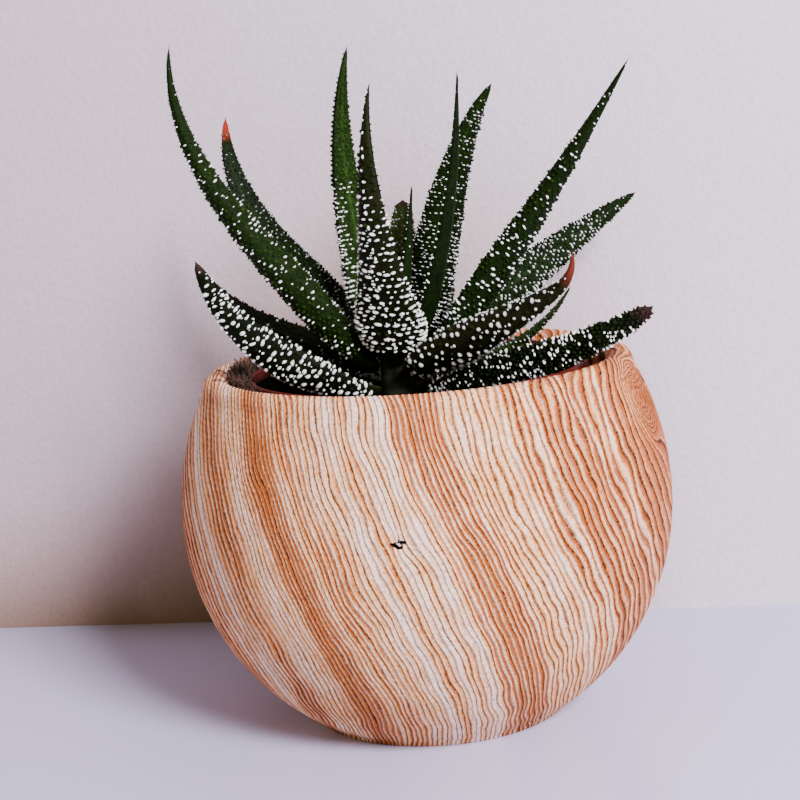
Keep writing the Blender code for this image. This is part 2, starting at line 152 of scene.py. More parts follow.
# Pearls, first where they are: row is the distance between rows and pitch that between pearls in a
# row; wide and long are half sizes across and along the leaf; fade is how much they shrink towards
# the tip and missing the share left out. On the inner face inside is the share kept and clear how
# wide a strip they leave free. Beyond the share up_to all stay green; fine is the share of small
# ones in between, keel the strength of the beads along the keel, dull the share that stays green
# and white the whiteness of the others. Then the skin: tint from dark to light, brown, the length
# of the dry tip and its redness.
Pearls = namedtuple(
    "Pearls",
    "row pitch wide long fade missing inside up_to clear fine keel dull white tint brown dry red",
)
LEAVES = (
    (Leaf(200, 91.2, 97, 42, -11, 3, -2, 13, 7.5, 0.95, 72, 0),
     Pearls(1.2, 1.4, 0.47, 0.26, 0.25, 0.05, 0.7, 1, 0, 0.15, 0, 0.68, 1, 0.34, 0, 3, 0.1)),
    (Leaf(141, 92.8, 80, 52, -11, 2.8, 11, 15.5, 4.8, 0.75, -45, 0),
     Pearls(1.05, 1.2, 0.38, 0.22, 0.25, 0.04, 0.95, 1, 0, 0.1, 0, 0.55, 0.45, 0.02, 0, 7, 0.9)),
    (Leaf(130, 96.8, 75, 18, -20, 1.7, 6, 15.5, 5.5, 0.85, 0, 0),
     Pearls(1.2, 1.4, 0.48, 0.27, 0.25, 0.05, 0.92, 0.5, 0.22, 0.1, 0, 0.18, 0.9, 0.18, 0, 2, 0)),
    (Leaf(268, 92.6, 75, 40, -28, 1.65, -22, 22, 5, 1.25, -25, 0),
     Pearls(1.65, 1.85, 0.66, 0.34, 0.25, 0.05, 0.1, 0.66, 0, 0.2, 1, 0.08, 1, 0.22, 0.2, 3, 0)),
    (Leaf(84, 91, 51, 45, 40, 1, 0, 10, 4.5, 0.28, 0, 0),
     Pearls(1.1, 1.1, 0.38, 0.28, 0.2, 0.05, 0.8, 1, 0, 0.1, 0, 0.5, 0.45, 0.28, 0.4, 3, 0)),
    (Leaf(330, 95.4, 69, 26, 5, 0.8, -1, 8, 4, 0.93, 0, 0),
     Pearls(2, 1.9, 0.38, 0.32, 0.35, 0.93, 0.1, 1, 0.3, 0, 0, 0, 0.9, 0.22, 0, 2, 0)),
    (Leaf(30, 93.2, 72.5, 17, 46, 2.75, 9, 18, 6, 0.78, 33, 0),
     Pearls(1.05, 1.3, 0.42, 0.2, 0.25, 0.05, 0.95, 1, 0, 0.15, 0, 0.36, 0.85, 0.04, 0, 2, 0)),
    (Leaf(348, 90.5, 92, 49, 33, 0.5, -4, 13, 6.5, 1, -70, 0),
     Pearls(1.3, 1.5, 0.5, 0.3, 0.25, 0.05, 0.6, 1, 0, 0.2, 0, 0.52, 1, 0.26, 0, 3, 0)),
    (Leaf(38, 89.5, 88, 65, 67, 1.4, -4, 16.5, 4.5, 0.7, 60, 0),
     Pearls(1.05, 1.25, 0.42, 0.22, 0.2, 0.05, 0.95, 1, 0, 0.15, 0, 0.38, 0.85, 0.02, 0, 2, 0)),
    (Leaf(305, 89.5, 66, 70, 51, 2.8, 22, 14.7, 6.2, 0.9, -80, 60),
     Pearls(2.1, 2.2, 0.56, 0.5, 0.1, 0.06, 0.3, 1, 0, 0.25, 0, 0.08, 0.62, 0.22, 0.25, 9, 0.34)),
    (Leaf(11, 87.4, 47.5, 90, 34, 1.35, 2, 8.7, 3.5, 0.7, -34, 0),
     Pearls(1.15, 1.2, 0.36, 0.26, 0.25, 0.05, 0.8, 1, 0, 0.1, 0, 0.45, 0.6, 0.34, 0.1, 2, 0)),
    (Leaf(336, 84.4, 66.5, 80, 57, 2.1, -3, 13.6, 4.5, 0.42, -53, 0),
     Pearls(1.15, 1.3, 0.36, 0.24, -0.5, 0.05, 0.4, 0.88, 0, 0.3, 0, 0.5, 1, 0.16, 0.05, 6, 0)),
    (Leaf(202, 84.4, 61.3, 76, 17, 1.3, 1, 14, 5.6, 0.6, 61, 0),
     Pearls(1.8, 1.95, 0.78, 0.46, 0.25, 0.05, 0.3, 1, 0, 0.45, 0, 0.06, 1, 0.14, 0.05, 4, 0)),
    (Leaf(160, 89.5, 55, 72, 28, 2.8, 3, 13, 5, 0.9, -45, 0),
     Pearls(1.25, 1.3, 0.42, 0.32, 0.2, 0.05, 0.8, 1, 0, 0.1, 0, 0.85, 0.5, -0.15, 0.1, 2, 0)),
    (Leaf(70, 87.1, 48, 83, 45, 1.2, 0, 10.8, 4.4, 0.6, 0, 0),
     Pearls(1.8, 1.8, 0.5, 0.38, 0.35, 0.08, 0.5, 1, 0, 0.2, 0, 0.4, 1, 0.25, 0.05, 2, 0)),
    (Leaf(119, 84.7, 43, 79, 45, 1.2, 0, 11.4, 4.5, 0.6, 0, 0),
     Pearls(1.8, 1.8, 0.5, 0.38, 0.35, 0.08, 0.5, 1, 0, 0.2, 0, 0.4, 1, 0.25, 0.05, 2, 0)),
)
# The two young spikes on top of the stem, with their distance from its axis first
SPIKES = (
    (1.8, Leaf(322, 97.5, 38, 12, 8, 1, 0, 5.5, 2.2, 0.9, 0, 0),
     Pearls(1.7, 9, 0.34, 0.34, 0.35, 0.9, 0, 1, 0, 0, 0, 0.05, 0.9, 0.28, 0, 1, 0)),
    (2.2, Leaf(200, 97.5, 28, 0, 14, 1, 180, 3.5, 2, 0.9, 0, 0),
     Pearls(1.7, 9, 0.32, 0.3, 0.35, 0.9, 0, 1, 0, 0, 0, 0.2, 0.9, 0.28, 0, 1, 0)),
)


def linear_colour(code):
    """An sRGB hex colour as linear red, green, blue and alpha: each channel divided by 12.92 when
    it is dark, or else shifted by 0.055 and raised to the power 2.4."""
    channels = [int(code[i : i + 2], 16) / 255 for i in (1, 3, 5)]
    return (
        *[c / 12.92 if c <= 0.04045 else ((c + 0.055) / 1.055) ** 2.4 for c in channels],
        1.0,
    )


def set_inputs(node, inputs):
    """Gives a node's inputs their values or links them: a list in the sockets' order, or a dict by
    number or name. A node stands for its first output, a colour Mix for its third, and a hex code
    for its colour."""
    for socket, value in inputs.items() if isinstance(inputs, dict) else enumerate(inputs):
        if isinstance(value, bpy.types.Node):
            value = value.outputs[2 if value.bl_idname == "ShaderNodeMix" else 0]
        if isinstance(value, bpy.types.NodeSocket):
            node.id_data.links.new(value, node.inputs[socket])
        else:
            node.inputs[socket].default_value = linear_colour(value) if isinstance(value, str) else value


def add_node(tree, kind, inputs=(), stops=(), **settings):
    """Adds a node: its settings, its inputs, and its colour stops, each a place with a hex code, a
    grey or a colour."""
    node = tree.nodes.new("ShaderNode" + kind)
    for key, value in settings.items():
        setattr(node, key, value)
    set_inputs(node, inputs)
    for number, (place, colour) in enumerate(stops):
        elements = node.color_ramp.elements
        if number == 0:
            elements.remove(elements[1])
        stop = elements.new(place) if number else elements[0]
        if isinstance(colour, str):
            colour = linear_colour(colour)
        elif isinstance(colour, (int, float)):
            colour = (colour, colour, colour, 1.0)
        stop.position, stop.color = place, colour
    return node


def new_material(name):
    """A material, a function that adds nodes to it, and its shader."""
    material = bpy.data.materials.new(name)
    material.use_nodes = True
    tree = material.node_tree
    return material, partial(add_node, tree), tree.nodes["Principled BSDF"]


def unit(vectors):
    """The same directions with a length of one."""
    return vectors / (np.linalg.norm(vectors, axis=-1, keepdims=True) + 1e-12)


def turns(count):
    """Angles spaced evenly round a circle."""
    return np.linspace(0, 2 * np.pi, count, endpoint=False)


def around(radius, angle, height):
    """Points about the Z axis: radius times cosine, radius times sine, and height."""
    x, y = radius * np.cos(angle), radius * np.sin(angle)
    return np.stack(np.broadcast_arrays(x, y, height), axis=-1)


def turn_pair(first, second, angle):
    """Two directions at right angles, turned by an angle from the first towards the second."""
    cos, sin = np.cos(angle), np.sin(angle)
    return first * cos + second * sin, second * cos - first * sin


def waves(points, lengths, seed):
    """Smooth waviness, about -1 to 1: sines in random directions, whose phase is the point divided
    by the three given lengths, times two pi. Their sum is divided by 1.5 times the root of their
    number."""
    draw = np.random.default_rng(seed)
    directions = unit(draw.normal(size=(WAVES, 3)))
    phases = draw.uniform(0, 2 * np.pi, WAVES)
    turned = (points / np.asarray(lengths)) @ directions.T * 2 * np.pi + phases
    return np.sin(turned).sum(axis=-1) / math.sqrt(WAVES) / 1.5


def grid_faces(rows, columns):
    """Quads between neighbouring rows of points, with the last column joined to the first."""
    row = np.arange(rows - 1)[:, None] * columns
    column = np.arange(columns)[None, :]
    following = (column + 1) % columns
    corners = (row + column, row + following, row + columns + following, row + columns + column)
    return np.stack([c.ravel() for c in np.broadcast_arrays(*corners)], axis=-1)


def fan_faces(ring, pole):
    """Triangles from a ring of point numbers to one pole."""
    return np.stack([ring, np.roll(ring, -1), np.full(len(ring), pole)], axis=-1)


def closed_faces(rows, columns):
    """Faces of a tube of rows by columns, with a pole after all points for each end."""
    first = np.arange(columns)[::-1]
    last = (rows - 1) * columns + np.arange(columns)
    count = rows * columns
    return [grid_faces(rows, columns), np.vstack([fan_faces(first, count), fan_faces(last, count + 1)])]


def volume(points, faces):
    """Signed volume of a closed shell: a sixth of the sum of corner triple products."""
    total = 0.0
    for block in faces:
        for k in range(1, block.shape[1] - 1):
            a, b, c = (points[block[:, i]] for i in (0, k, k + 1))
            total += np.einsum("ij,ij->", a, np.cross(b, c)) / 6
    return total


def outward(points, faces):
    """The faces, turned over where the shell would be inside out."""
    return faces if volume(points, faces) > 0 else [block[:, ::-1] for block in faces]


def join_shells(shells):
    """One list of points and faces from several, with their numbers moved on."""
    points, blocks, start = [], [], 0
    for shell, faces in shells:
        points.append(shell)
        blocks += [block + start for block in faces]
        start += len(shell)
    return np.vstack(points), blocks


def alike_shells(points, faces):
    """Many shells with the faces of one: their points in one list, and the faces of them all."""
    start = points.shape[1] * np.arange(len(points))[:, None, None]
    faces = [(block[None] + start).reshape(-1, block.shape[1]) for block in faces]
    points = points.reshape(-1, 3)
    return points, outward(points, faces)


def turned_shell(profile, columns):
    """A profile of radius and height turned about Z, row by row, then its two poles."""
    angle = turns(columns)
    radius, height = profile[1:-1].T[..., None]
    poles = [(0, 0, profile[0, 1]), (0, 0, profile[-1, 1])]
    points = np.vstack([around(radius, angle, height).reshape(-1, 3), poles])
    return points, outward(points, closed_faces(len(profile) - 2, columns))


def link_new(name, data):
    """A new object with the given data, linked into the scene."""
    thing = bpy.data.objects.new(name, data)
    bpy.context.scene.collection.objects.link(thing)
    return thing


def make_piece(name, points, faces, node, material, values=None):
    """A mesh from points in millimetres and blocks of faces; values are its point attributes. It
    sits at the origin, rides on the body and stands for a CAD node."""
    mesh = bpy.data.meshes.new(name)
    mesh.vertices.add(len(points))
    mesh.vertices.foreach_set("co", (np.asarray(points) * MM).astype(np.float32).ravel())
    counts = np.concatenate([np.full(len(block), block.shape[1]) for block in faces])
    corners = np.concatenate([block.ravel() for block in faces]).astype(np.int32)
    mesh.loops.add(len(corners))
    mesh.loops.foreach_set("vertex_index", corners)
    mesh.polygons.add(len(counts))
    mesh.polygons.foreach_set("loop_start", (np.cumsum(counts) - counts).astype(np.int32))
    mesh.update(calc_edges=True)
    mesh.validate()
    mesh.shade_smooth()
    for key, value in (values or {}).items():
        kind = "FLOAT_VECTOR" if value.ndim == 2 else "FLOAT"
        field = "vector" if value.ndim == 2 else "value"
        layer = mesh.attributes.new(key, kind, "POINT")
        layer.data.foreach_set(field, value.astype(np.float32).ravel())
    mesh.materials.append(material)
    piece = link_new(name, mesh)
    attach(piece, BODY)
    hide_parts(node)
    return piece


def bowl_arc(start, end, widest, count):
    """Part of the egg form: radius is widest times the cosine of an angle, height the half axis
    times its sine, with the angle evenly spaced between those of the two heights."""
    half = [BOWL_RISE if h > BOWL_WIDEST_HEIGHT else BOWL_DROP for h in (start, end)]
    ends = [math.asin((h - BOWL_WIDEST_HEIGHT) / a) for h, a in zip((start, end), half)]
    angle = np.linspace(*ends, count)
    rise = np.where(angle > 0, BOWL_RISE, BOWL_DROP)
    return np.stack([widest * np.cos(angle), BOWL_WIDEST_HEIGHT + rise * np.sin(angle)], axis=-1)


def bowl_profile():
    """Base, bulging wall, round lip, hollow wall and floor, from axis to axis. The second result
    says how deep the grain is brushed at each point: fully outside, faintly inside."""
    outer = bowl_arc(BOWL_BASE_ROUND, LIP_START_HEIGHT, BOWL_RADIUS, OUTER_ROWS)
    floor_start = BOWL_FLOOR + BOWL_FLOOR_ROUND
    hollow = bowl_arc(LIP_START_HEIGHT, floor_start, BOWL_HOLLOW_RADIUS, HOLLOW_ROWS)
    turn = np.pi * np.arange(1, LIP_ROWS + 1) / (LIP_ROWS + 1)
    middle, half = (outer[-1, 0] + hollow[0, 0]) / 2, (outer[-1, 0] - hollow[0, 0]) / 2
    lip = np.stack([middle + half * np.cos(turn), LIP_START_HEIGHT + LIP_RISE * np.sin(turn)], axis=-1)
    base = np.array([(0, 0), (8, 0), (20, 0), (outer[0, 0] - BOWL_BASE_ROUND, 0)])
    edge = base[-1] + BOWL_BASE_ROUND * np.array([(0.5, 0.13)])
    floor_edge = hollow[-1, 0] - BOWL_FLOOR_ROUND
    floor = np.array([(floor_edge, BOWL_FLOOR), (25, BOWL_FLOOR), (10, BOWL_FLOOR), (0, BOWL_FLOOR)])
    parts = [base, edge, outer, lip, hollow, floor]
    depth = (0.0, 0.0, 1.0, 0.8, 0.25, 0.1)
    return np.vstack(parts), np.repeat(depth, [len(part) for part in parts])


def grain_line(points):
    """Distance across the grain in millimetres, constant along a growth line: x plus a bend that
    grows with the height and fades to the right, plus waviness, plus a hump at the eye that
    closes the lines into rings there."""
    x, z = points[:, 0] / 50, (points[:, 2] - 50) / 50
    bend = 0.43 * z + 0.14 * x * z**2 - 0.15 * z**3 - 0.11 * x * z**3 - 0.14 * x**2 * z
    line = points[:, 0] + 50 * bend
    wavy = 0.9 * waves(points, (34, 44, 30), 3) + 0.22 * waves(points, (18, 18, 11), 4)
    wavy += 0.07 * waves(points, (8, 8, 5), 5)
    line += wavy * steady(points)
    line += 15 * spread(points, EYE, (4.2, 4.2, 6.2))
    line += spread(points, KNOT, (3.0, 3.0, 3.5)) * np.tanh(0.7 * (points - KNOT)[:, 0])
    return line


def steady(points):
    """How much the grain wavers: fully in front, least where the wall turns away at the sides."""
    return np.clip(1.15 - (points[:, 0] / BOWL_RADIUS) ** 2, 0.25, 1)


def spread(points, middle, sizes):
    """A soft spot: one in the middle, falling off as a bell curve of the given three sizes."""
    return np.exp(-0.5 * (((points - middle) / sizes) ** 2).sum(axis=1))


def grain_values(points):
    """For each point the ring count, the distance along the grain, and how orange the wood is. The
    ring count is the sum of one over the line pitch across the grain, plus slow waves that crowd
    some lines."""
    line = grain_line(points)
    across = np.linspace(-80, 90, 1701)
    pitch = np.interp(across, *np.array(LINE_PITCH).T)
    rings = np.interp(line, across, np.cumsum(0.1 / pitch))
    rings += 0.36 * waves(points, (8, 8, 24), 6) * steady(points)
    band = np.zeros(len(points))
    for centre, half, strength in GRAIN_BANDS:
        shape = np.exp(-0.5 * np.abs((line - centre) / (half * 0.8)) ** 3)
        band = np.maximum(band, strength * shape)
    band *= 0.85 + 0.35 * waves(points, (24, 24, 40), 8)
    band *= np.where(points[:, 1] > 0, 0.6, 1.0)
    stain = 2.4 * spread(points, EYE_STAIN, (8, 12, 13)) + 1.4 * spread(points, EYE, (7, 9, 9))
    band = np.clip(np.maximum(band, stain), 0, 2)
    along = points[:, 2] - 0.35 * points[:, 0]
    knot = 1.0 - np.linalg.norm((points - KNOT) / (1.0, 1.0, 0.85), axis=1) / 2.6
    return np.stack([rings, along, band], axis=-1), np.clip(knot, 0, 1)


def groove(rings):
    """Depth of the brushed groove: one at the middle of each ring count, nought between."""
    return (0.5 - 0.5 * np.cos(2 * np.pi * rings)) ** 1.5


def bowl_surface(settings):
    """The turned profile, pressed in along its normals by the groove depth times the relief."""
    profile, brushed = bowl_profile()
    points, faces = turned_shell(profile, BOWL_COLUMNS)
    slope = unit(np.gradient(profile, axis=0))
    angle = np.tile(turns(BOWL_COLUMNS), len(profile) - 2)
    out, rise = (np.repeat(v[1:-1], BOWL_COLUMNS) for v in (slope[:, 1], -slope[:, 0]))
    grain, knot = grain_values(points)
    depth = np.repeat(brushed[1:-1], BOWL_COLUMNS) * settings.groove_depth / MM
    count = len(angle)
    pressed = depth * groove(grain[:count, 0]) + 0.5 * np.clip(knot[:count] - 0.55, 0, 1)
    points[:count] -= around(out, angle, rise) * pressed[:, None]
    return points, faces, {"grain": grain, "knot": knot}


def brushed_softwood(settings):
    """Turned softwood, wire-brushed: the soft wood of each ring is worn back, so thin dark brown
    lines lie in grooves between ridges that carry a painted pale highlight, matt, with a fine speckle of
    torn fibre."""
    material, add, shader = new_material("turned and brushed softwood")
    place = add("TexCoord").outputs["Object"]
    grain = add("Attribute", attribute_name="grain").outputs["Vector"]
    rings, along, band = add("SeparateXYZ", [grain]).outputs

    # Patterns in ring counts across the grain and millimetres along it: broken fibre, about 0.4 mm
    # across and 1.5 mm long, the wander of the lines, their breaks and broad streaks
    flat = add("CombineXYZ", [rings, along])
    fibre, wander, breaks, streaks = [
        add(
            "TexNoise",
            {"Vector": add("Mapping", {"Vector": flat, "Scale": (*scale, 1.0)}), "Scale": 1.0,
             "Detail": detail, "Roughness": roughness},
        )
        for scale, detail, roughness in (
            ((3.5, 0.7), 4.0, 0.65),
            ((0.8, 0.13), 3.0, 0.5),
            ((1.3, 1.9), 2.0, 0.7),
            ((0.42, 0.07), 2.0, 0.5),
        )
    ]
    shaken = rings
    for noise, share in ((wander, 0.9), (fibre, 0.34)):
        shaken = add("Math", [noise, share, shaken], operation="MULTIPLY_ADD")
    share = add("Math", [shaken], operation="FRACT")
    number = add("Math", [shaken], operation="FLOOR")
    chance = add("TexWhiteNoise", {"W": number}, noise_dimensions="1D")
    line = add("ValToRGB", [share], [(0, 1), (0.1, 1), (0.26, 0), (0.88, 0), (1, 1)])
    ridge = add("ValToRGB", [share], [(0, 0), (0.34, 0), (0.46, 1), (0.62, 0.2), (0.85, 0)])

    # Lines come and go along their length, some stay faint, and all are broken every half millimetre
    patches = add("TexNoise", {"Vector": place, "Scale": 90.0, "Detail": 2.0})
    lasting = add("Math", [patches, chance], operation="ADD")
    strong = add("MapRange", [lasting, 0.4, 1.05, 0.48])
    broken = add("MapRange", [breaks, 0.36, 0.52, 0.55])
    resinous = add("MapRange", {0: band, 3: 0.95, 4: 1.35})
    drawn = line
    for factor in (strong, broken, resinous):
        drawn = add("Math", [drawn, factor], operation="MULTIPLY", use_clamp=True)

    # Pale wood and orange wood: in bands, darker towards the line of each ring, and in streaks
    ripening = add("MapRange", {0: share, 1: 0.3, 3: 0.12, 4: 1.55})
    tone = add("Math", [band, ripening], operation="MULTIPLY")
    for part, weight in ((fibre, 0.5), (streaks, 0.5), (chance, 0.24)):
        tone = add("Math", [part, weight, tone], operation="MULTIPLY_ADD")
    wood = add(
        "ValToRGB",
        [tone],
        [(0.46, settings.pale_wood), (0.7, "#EAA25E"), (0.92, settings.orange_wood), (1, "#A6510F")],
    )
    # Painted highlight: a pale cream stripe on the ridge beside each line, fainter in the orange bands
    plain = add("MapRange", {0: band, 3: 0.6, 4: 0.1})
    ridge_highlight = add("Math", [ridge, plain], operation="MULTIPLY")
    highlighted = add("Mix", {0: ridge_highlight, 6: wood, 7: "#FFEFE2"}, data_type="RGBA")
    deep = add("MapRange", {0: band, 1: 0.1, 2: 0.9})
    resin = add("Mix", {0: deep, 6: "#54250F", 7: settings.line_colour}, data_type="RGBA")
    inside_wall = add("Mix", {0: drawn, 6: highlighted, 7: resin}, data_type="RGBA")

    # Speckle of torn fibre ends, under a millimetre across
    speck = add("TexNoise", {"Vector": place, "Scale": 1500.0, "Detail": 2.0, "Roughness": 0.6})
    speckle = add("MapRange", [speck, 0.3, 0.7, 0.68, 1.2])
    dusted = add("VectorMath", {0: inside_wall, "Scale": speckle}, operation="SCALE")

    # The little black knot has a ragged edge
    edge = add("TexNoise", {"Vector": place, "Scale": 620.0, "Detail": 2.0})
    splinters = add("MapRange", [edge, 0.3, 0.7, 0.3, 1.8])
    knot = add("Attribute", attribute_name="knot").outputs["Fac"]
    ragged = add("Math", [knot, splinters], operation="MULTIPLY")
    black = add("ValToRGB", [ragged], [(0, 0), (0.42, 0), (0.52, 1)])
    sunk = add("Math", [line, -0.8, speck], operation="MULTIPLY_ADD")
    set_inputs(shader, {
        "Base Color": add("Mix", {0: black, 6: dusted, 7: "#0A0503"}, data_type="RGBA"),
        "Roughness": 0.68,
        "Specular IOR Level": add("MapRange", {0: black, 3: 0.1, 4: 0.0}),
        "Normal": add("Bump", {"Strength": 0.8, "Distance": 0.0004, "Height": sunk}),
    })
    return material


def grow_pot_profile():
    """Floor, tapering wall, the rim that steps out from it, and the inside back to the axis."""
    base, neck, rim = POT_BASE_RADIUS, POT_NECK_RADIUS, POT_RIM_RADIUS
    bottom, low, top, thick = POT_BOTTOM, POT_RIM_BOTTOM, POT_TOP, POT_WALL
    edge = thick / 2
    cos, sin = edge * np.cos(POT_EDGE), edge * np.sin(POT_EDGE)
    corner = np.stack([rim - edge + cos, top - edge + sin], axis=-1)
    inner = np.stack([rim - edge - sin, top - edge + cos], axis=-1)
    heights = np.linspace(bottom + 1, low, 16)
    wall = np.stack([base + POT_SLOPE * (heights - bottom), heights], axis=-1)
    return np.vstack([
        [(0, bottom), (base - 1, bottom), (base - 0.3, bottom + 0.3)],
        wall,
        [(rim - 0.3, low + 0.1), (rim, low + 0.4)],
        corner,
        inner[1:],
        [(rim - thick, low + thick + 0.4), (neck - thick + 0.4, low + thick)],
        wall[::-1] - (thick, 0),
        [(base - thick - 0.5, bottom + thick), (0, bottom + thick)],
    ])


def moulded_plastic(settings):
    """Polypropylene moulded in dark terracotta red, with a soft satin sheen and a little dust; its
    inside is painted near black, as painted shade."""
    material, add, shader = new_material("moulded polypropylene")
    place = add("TexCoord").outputs["Object"]
    dust = add("TexNoise", {"Vector": place, "Scale": 220.0, "Detail": 5.0})
    colour = add("ValToRGB", [dust], [(0.35, settings.plastic), (0.62, "#571A10"), (0.75, "#301812")])
    # Painted shade: the inside of the pot is painted near black and loses its sheen
    inner_shade = add("Attribute", attribute_name="inner_shade").outputs["Fac"]
    set_inputs(shader, {
        "Base Color": add("Mix", {0: inner_shade, 6: colour, 7: "#060403"}, data_type="RGBA"),
        "Roughness": add("MapRange", {0: dust, 3: 0.5, 4: 0.75}),
        "Specular IOR Level": add("MapRange", {0: inner_shade, 3: 0.1, 4: 0.0}),
        "Normal": add("Bump", {"Strength": 0.2, "Distance": 0.0001, "Height": dust}),
    })
    return material


def drill(piece, centre, radius, bottom, top):
    """Cuts a round upright hole through a piece and applies the cut."""
    points, faces = turned_shell(np.array([(0, bottom), (radius, bottom), (radius, top), (0, top)]), 24)
    mesh = bpy.data.meshes.new("drill")
    points = (points + centre) * MM
    mesh.from_pydata(points.tolist(), [], [f for block in faces for f in block.tolist()])
    tool = link_new("drill", mesh)
    cut = piece.modifiers.new("hole", "BOOLEAN")
    cut.operation = "DIFFERENCE"
    cut.object = tool
    graph = bpy.context.evaluated_depsgraph_get()
    mended = bpy.data.meshes.new_from_object(piece.evaluated_get(graph))
    piece.modifiers.clear()
    piece.data = mended
    bpy.data.objects.remove(tool, do_unlink=True)


def soil_shell():
    """The fill: sides a gap from the wall, and a top whose height waves by about a millimetre."""
    bottom = POT_BOTTOM + POT_WALL + 0.3
    radii = np.linspace(SOIL_RADIUS, 1.2, 26)
    profile = np.vstack([
        [(0, bottom), (27, bottom), (27.4, bottom + 0.6), (SOIL_RADIUS + 0.2, SOIL_TOP - 1.5)],
        np.stack([radii, np.full(26, SOIL_TOP)], axis=-1),
        [(0, SOIL_TOP)],
    ])
    points, faces = turned_shell(profile, SOIL_COLUMNS)
    top = points[:, 2] > SOIL_TOP - 1
    points[top, 2] += 0.9 * waves(points[top], (9, 9, 9), 21) + 0.4 * waves(points[top], (3, 3, 3), 22)
    return points, faces


def soil_crumbs(count):
    """Bark chips and crumbs: icosahedra, stretched and turned at random, half sunk in the top."""
    draw = np.random.default_rng(31)
    golden = (1 + 5**0.5) / 2
    corners = np.array([
        (-1, golden, 0), (1, golden, 0), (-1, -golden, 0), (1, -golden, 0),
        (0, -1, golden), (0, 1, golden), (0, -1, -golden), (0, 1, -golden),
        (golden, 0, -1), (golden, 0, 1), (-golden, 0, -1), (-golden, 0, 1),
    ]) / 1.9
    sides = np.array([
        (0, 11, 5), (0, 5, 1), (0, 1, 7), (0, 7, 10), (0, 10, 11),
        (1, 5, 9), (5, 11, 4), (11, 10, 2), (10, 7, 6), (7, 1, 8),
        (3, 9, 4), (3, 4, 2), (3, 2, 6), (3, 6, 8), (3, 8, 9),
        (4, 9, 5), (2, 4, 11), (6, 2, 10), (8, 6, 7), (9, 8, 1),
    ])
    radius = np.sqrt(draw.uniform(0.03, 1, count)) * (SOIL_RADIUS - 1.5)
    angle = draw.uniform(0, 2 * np.pi, count)
    size = draw.uniform(0.5, 1.5, (count, 3)) * (1.0, 1.0, 0.45) * draw.uniform(0.5, 1.3, (count, 1))
    turn = draw.uniform(0, 2 * np.pi, count)
    shapes = corners[None] * size[:, None] * draw.uniform(0.8, 1.2, (count, 12, 1))
    x, y = turn_pair(shapes[..., 0], shapes[..., 1], -turn[:, None])
    middle = around(radius, angle, SOIL_TOP)
    middle[:, 2] += 0.9 * waves(middle, (9, 9, 9), 21) + draw.uniform(-0.1, 0.35, count)
    crumbs = middle[:, None] + np.stack([x, y, shapes[..., 2]], axis=-1)
    return *alike_shells(crumbs, [sides]), np.repeat(draw.uniform(0.2, 1, count), 12)


def potting_mix(settings):
    """Peat and composted bark: near black when moist, rough, each crumb its own brown."""
    material, add, shader = new_material("peat and bark potting mix")
    place = add("TexCoord").outputs["Object"]
    tint = add("Attribute", attribute_name="tint").outputs["Fac"]
    grit = add("TexNoise", {"Vector": place, "Scale": 900.0, "Detail": 6.0})
    mixed = add("Math", [grit, 0.6, tint], operation="MULTIPLY_ADD")
    colour = add("ValToRGB", [mixed], [(0.3, "#080605"), (0.9, settings.soil), (1, "#30221A")])
    set_inputs(shader, {
        "Base Color": colour,
        "Roughness": 0.93,
        "Specular IOR Level": 0.1,
        "Normal": add("Bump", {"Strength": 0.9, "Distance": 0.0005, "Height": grit}),
    })
    return material


def stem_surface():
    """A short post whose radius drops in shallow rings, the scars of older leaves."""
    height = np.linspace(STEM_FOOT + 1, STEM_TOP - 1, 60)
    radius = STEM_RADIUS - 0.25 - 0.22 * np.abs(np.sin(height * 1.7)) ** 0.5
    body = np.stack([radius, height], axis=-1)
    cap = [(STEM_RADIUS - 0.9, STEM_TOP - 0.4), (STEM_RADIUS - 2.0, STEM_TOP - 0.1), (0, STEM_TOP)]
    foot = [(0, STEM_FOOT), (STEM_RADIUS - 1.2, STEM_FOOT)]
    profile = np.vstack([foot, body, cap])
    points, faces = turned_shell(profile, STEM_COLUMNS)
    return points + (STEM_X, 0, 0), faces


def young_stem():
    """Fleshy young stem among old leaf bases: painted near black green as shade deep under the leaves, a
    little lighter in flecks.
    """
    material, add, shader = new_material("fleshy green stem")
    place = add("TexCoord").outputs["Object"]
    flecks = add("TexNoise", {"Vector": place, "Scale": 400.0, "Detail": 4.0})
    set_inputs(shader, {
        # Painted shade: the stem is painted near black, for the shade deep under the leaves
        "Base Color": add("ValToRGB", [flecks], [(0.35, "#0E120A"), (0.65, "#262A18")]),
        "Roughness": 0.85,
        "Specular IOR Level": 0.15,
        "Normal": add("Bump", {"Strength": 0.4, "Distance": 0.0002, "Height": flecks}),
    })
    return material


def tubes(paths, thickness, sides):
    """Closed tubes along many paths of equal point count: each ring is the path point plus cosine
    and sine of its side angle times two directions at right angles to the path."""
    count, steps = paths.shape[:2]
    ahead = unit(np.gradient(paths, axis=1))
    first = unit(np.cross(ahead, (0.31, 0.17, 0.93)))
    second = np.cross(ahead, first)
    angle = turns(sides)
    slim = np.sin(np.linspace(0.25, np.pi - 0.25, steps)) ** 0.3
    size = thickness[:, None, None, None] * slim[None, :, None, None]
    rings = paths[:, :, None] + size * (
        first[:, :, None] * np.cos(angle)[:, None] + second[:, :, None] * np.sin(angle)[:, None]
    )
    points = np.concatenate([rings.reshape(count, -1, 3), paths[:, :1], paths[:, -1:]], axis=1)
    return alike_shells(points, closed_faces(steps, sides))


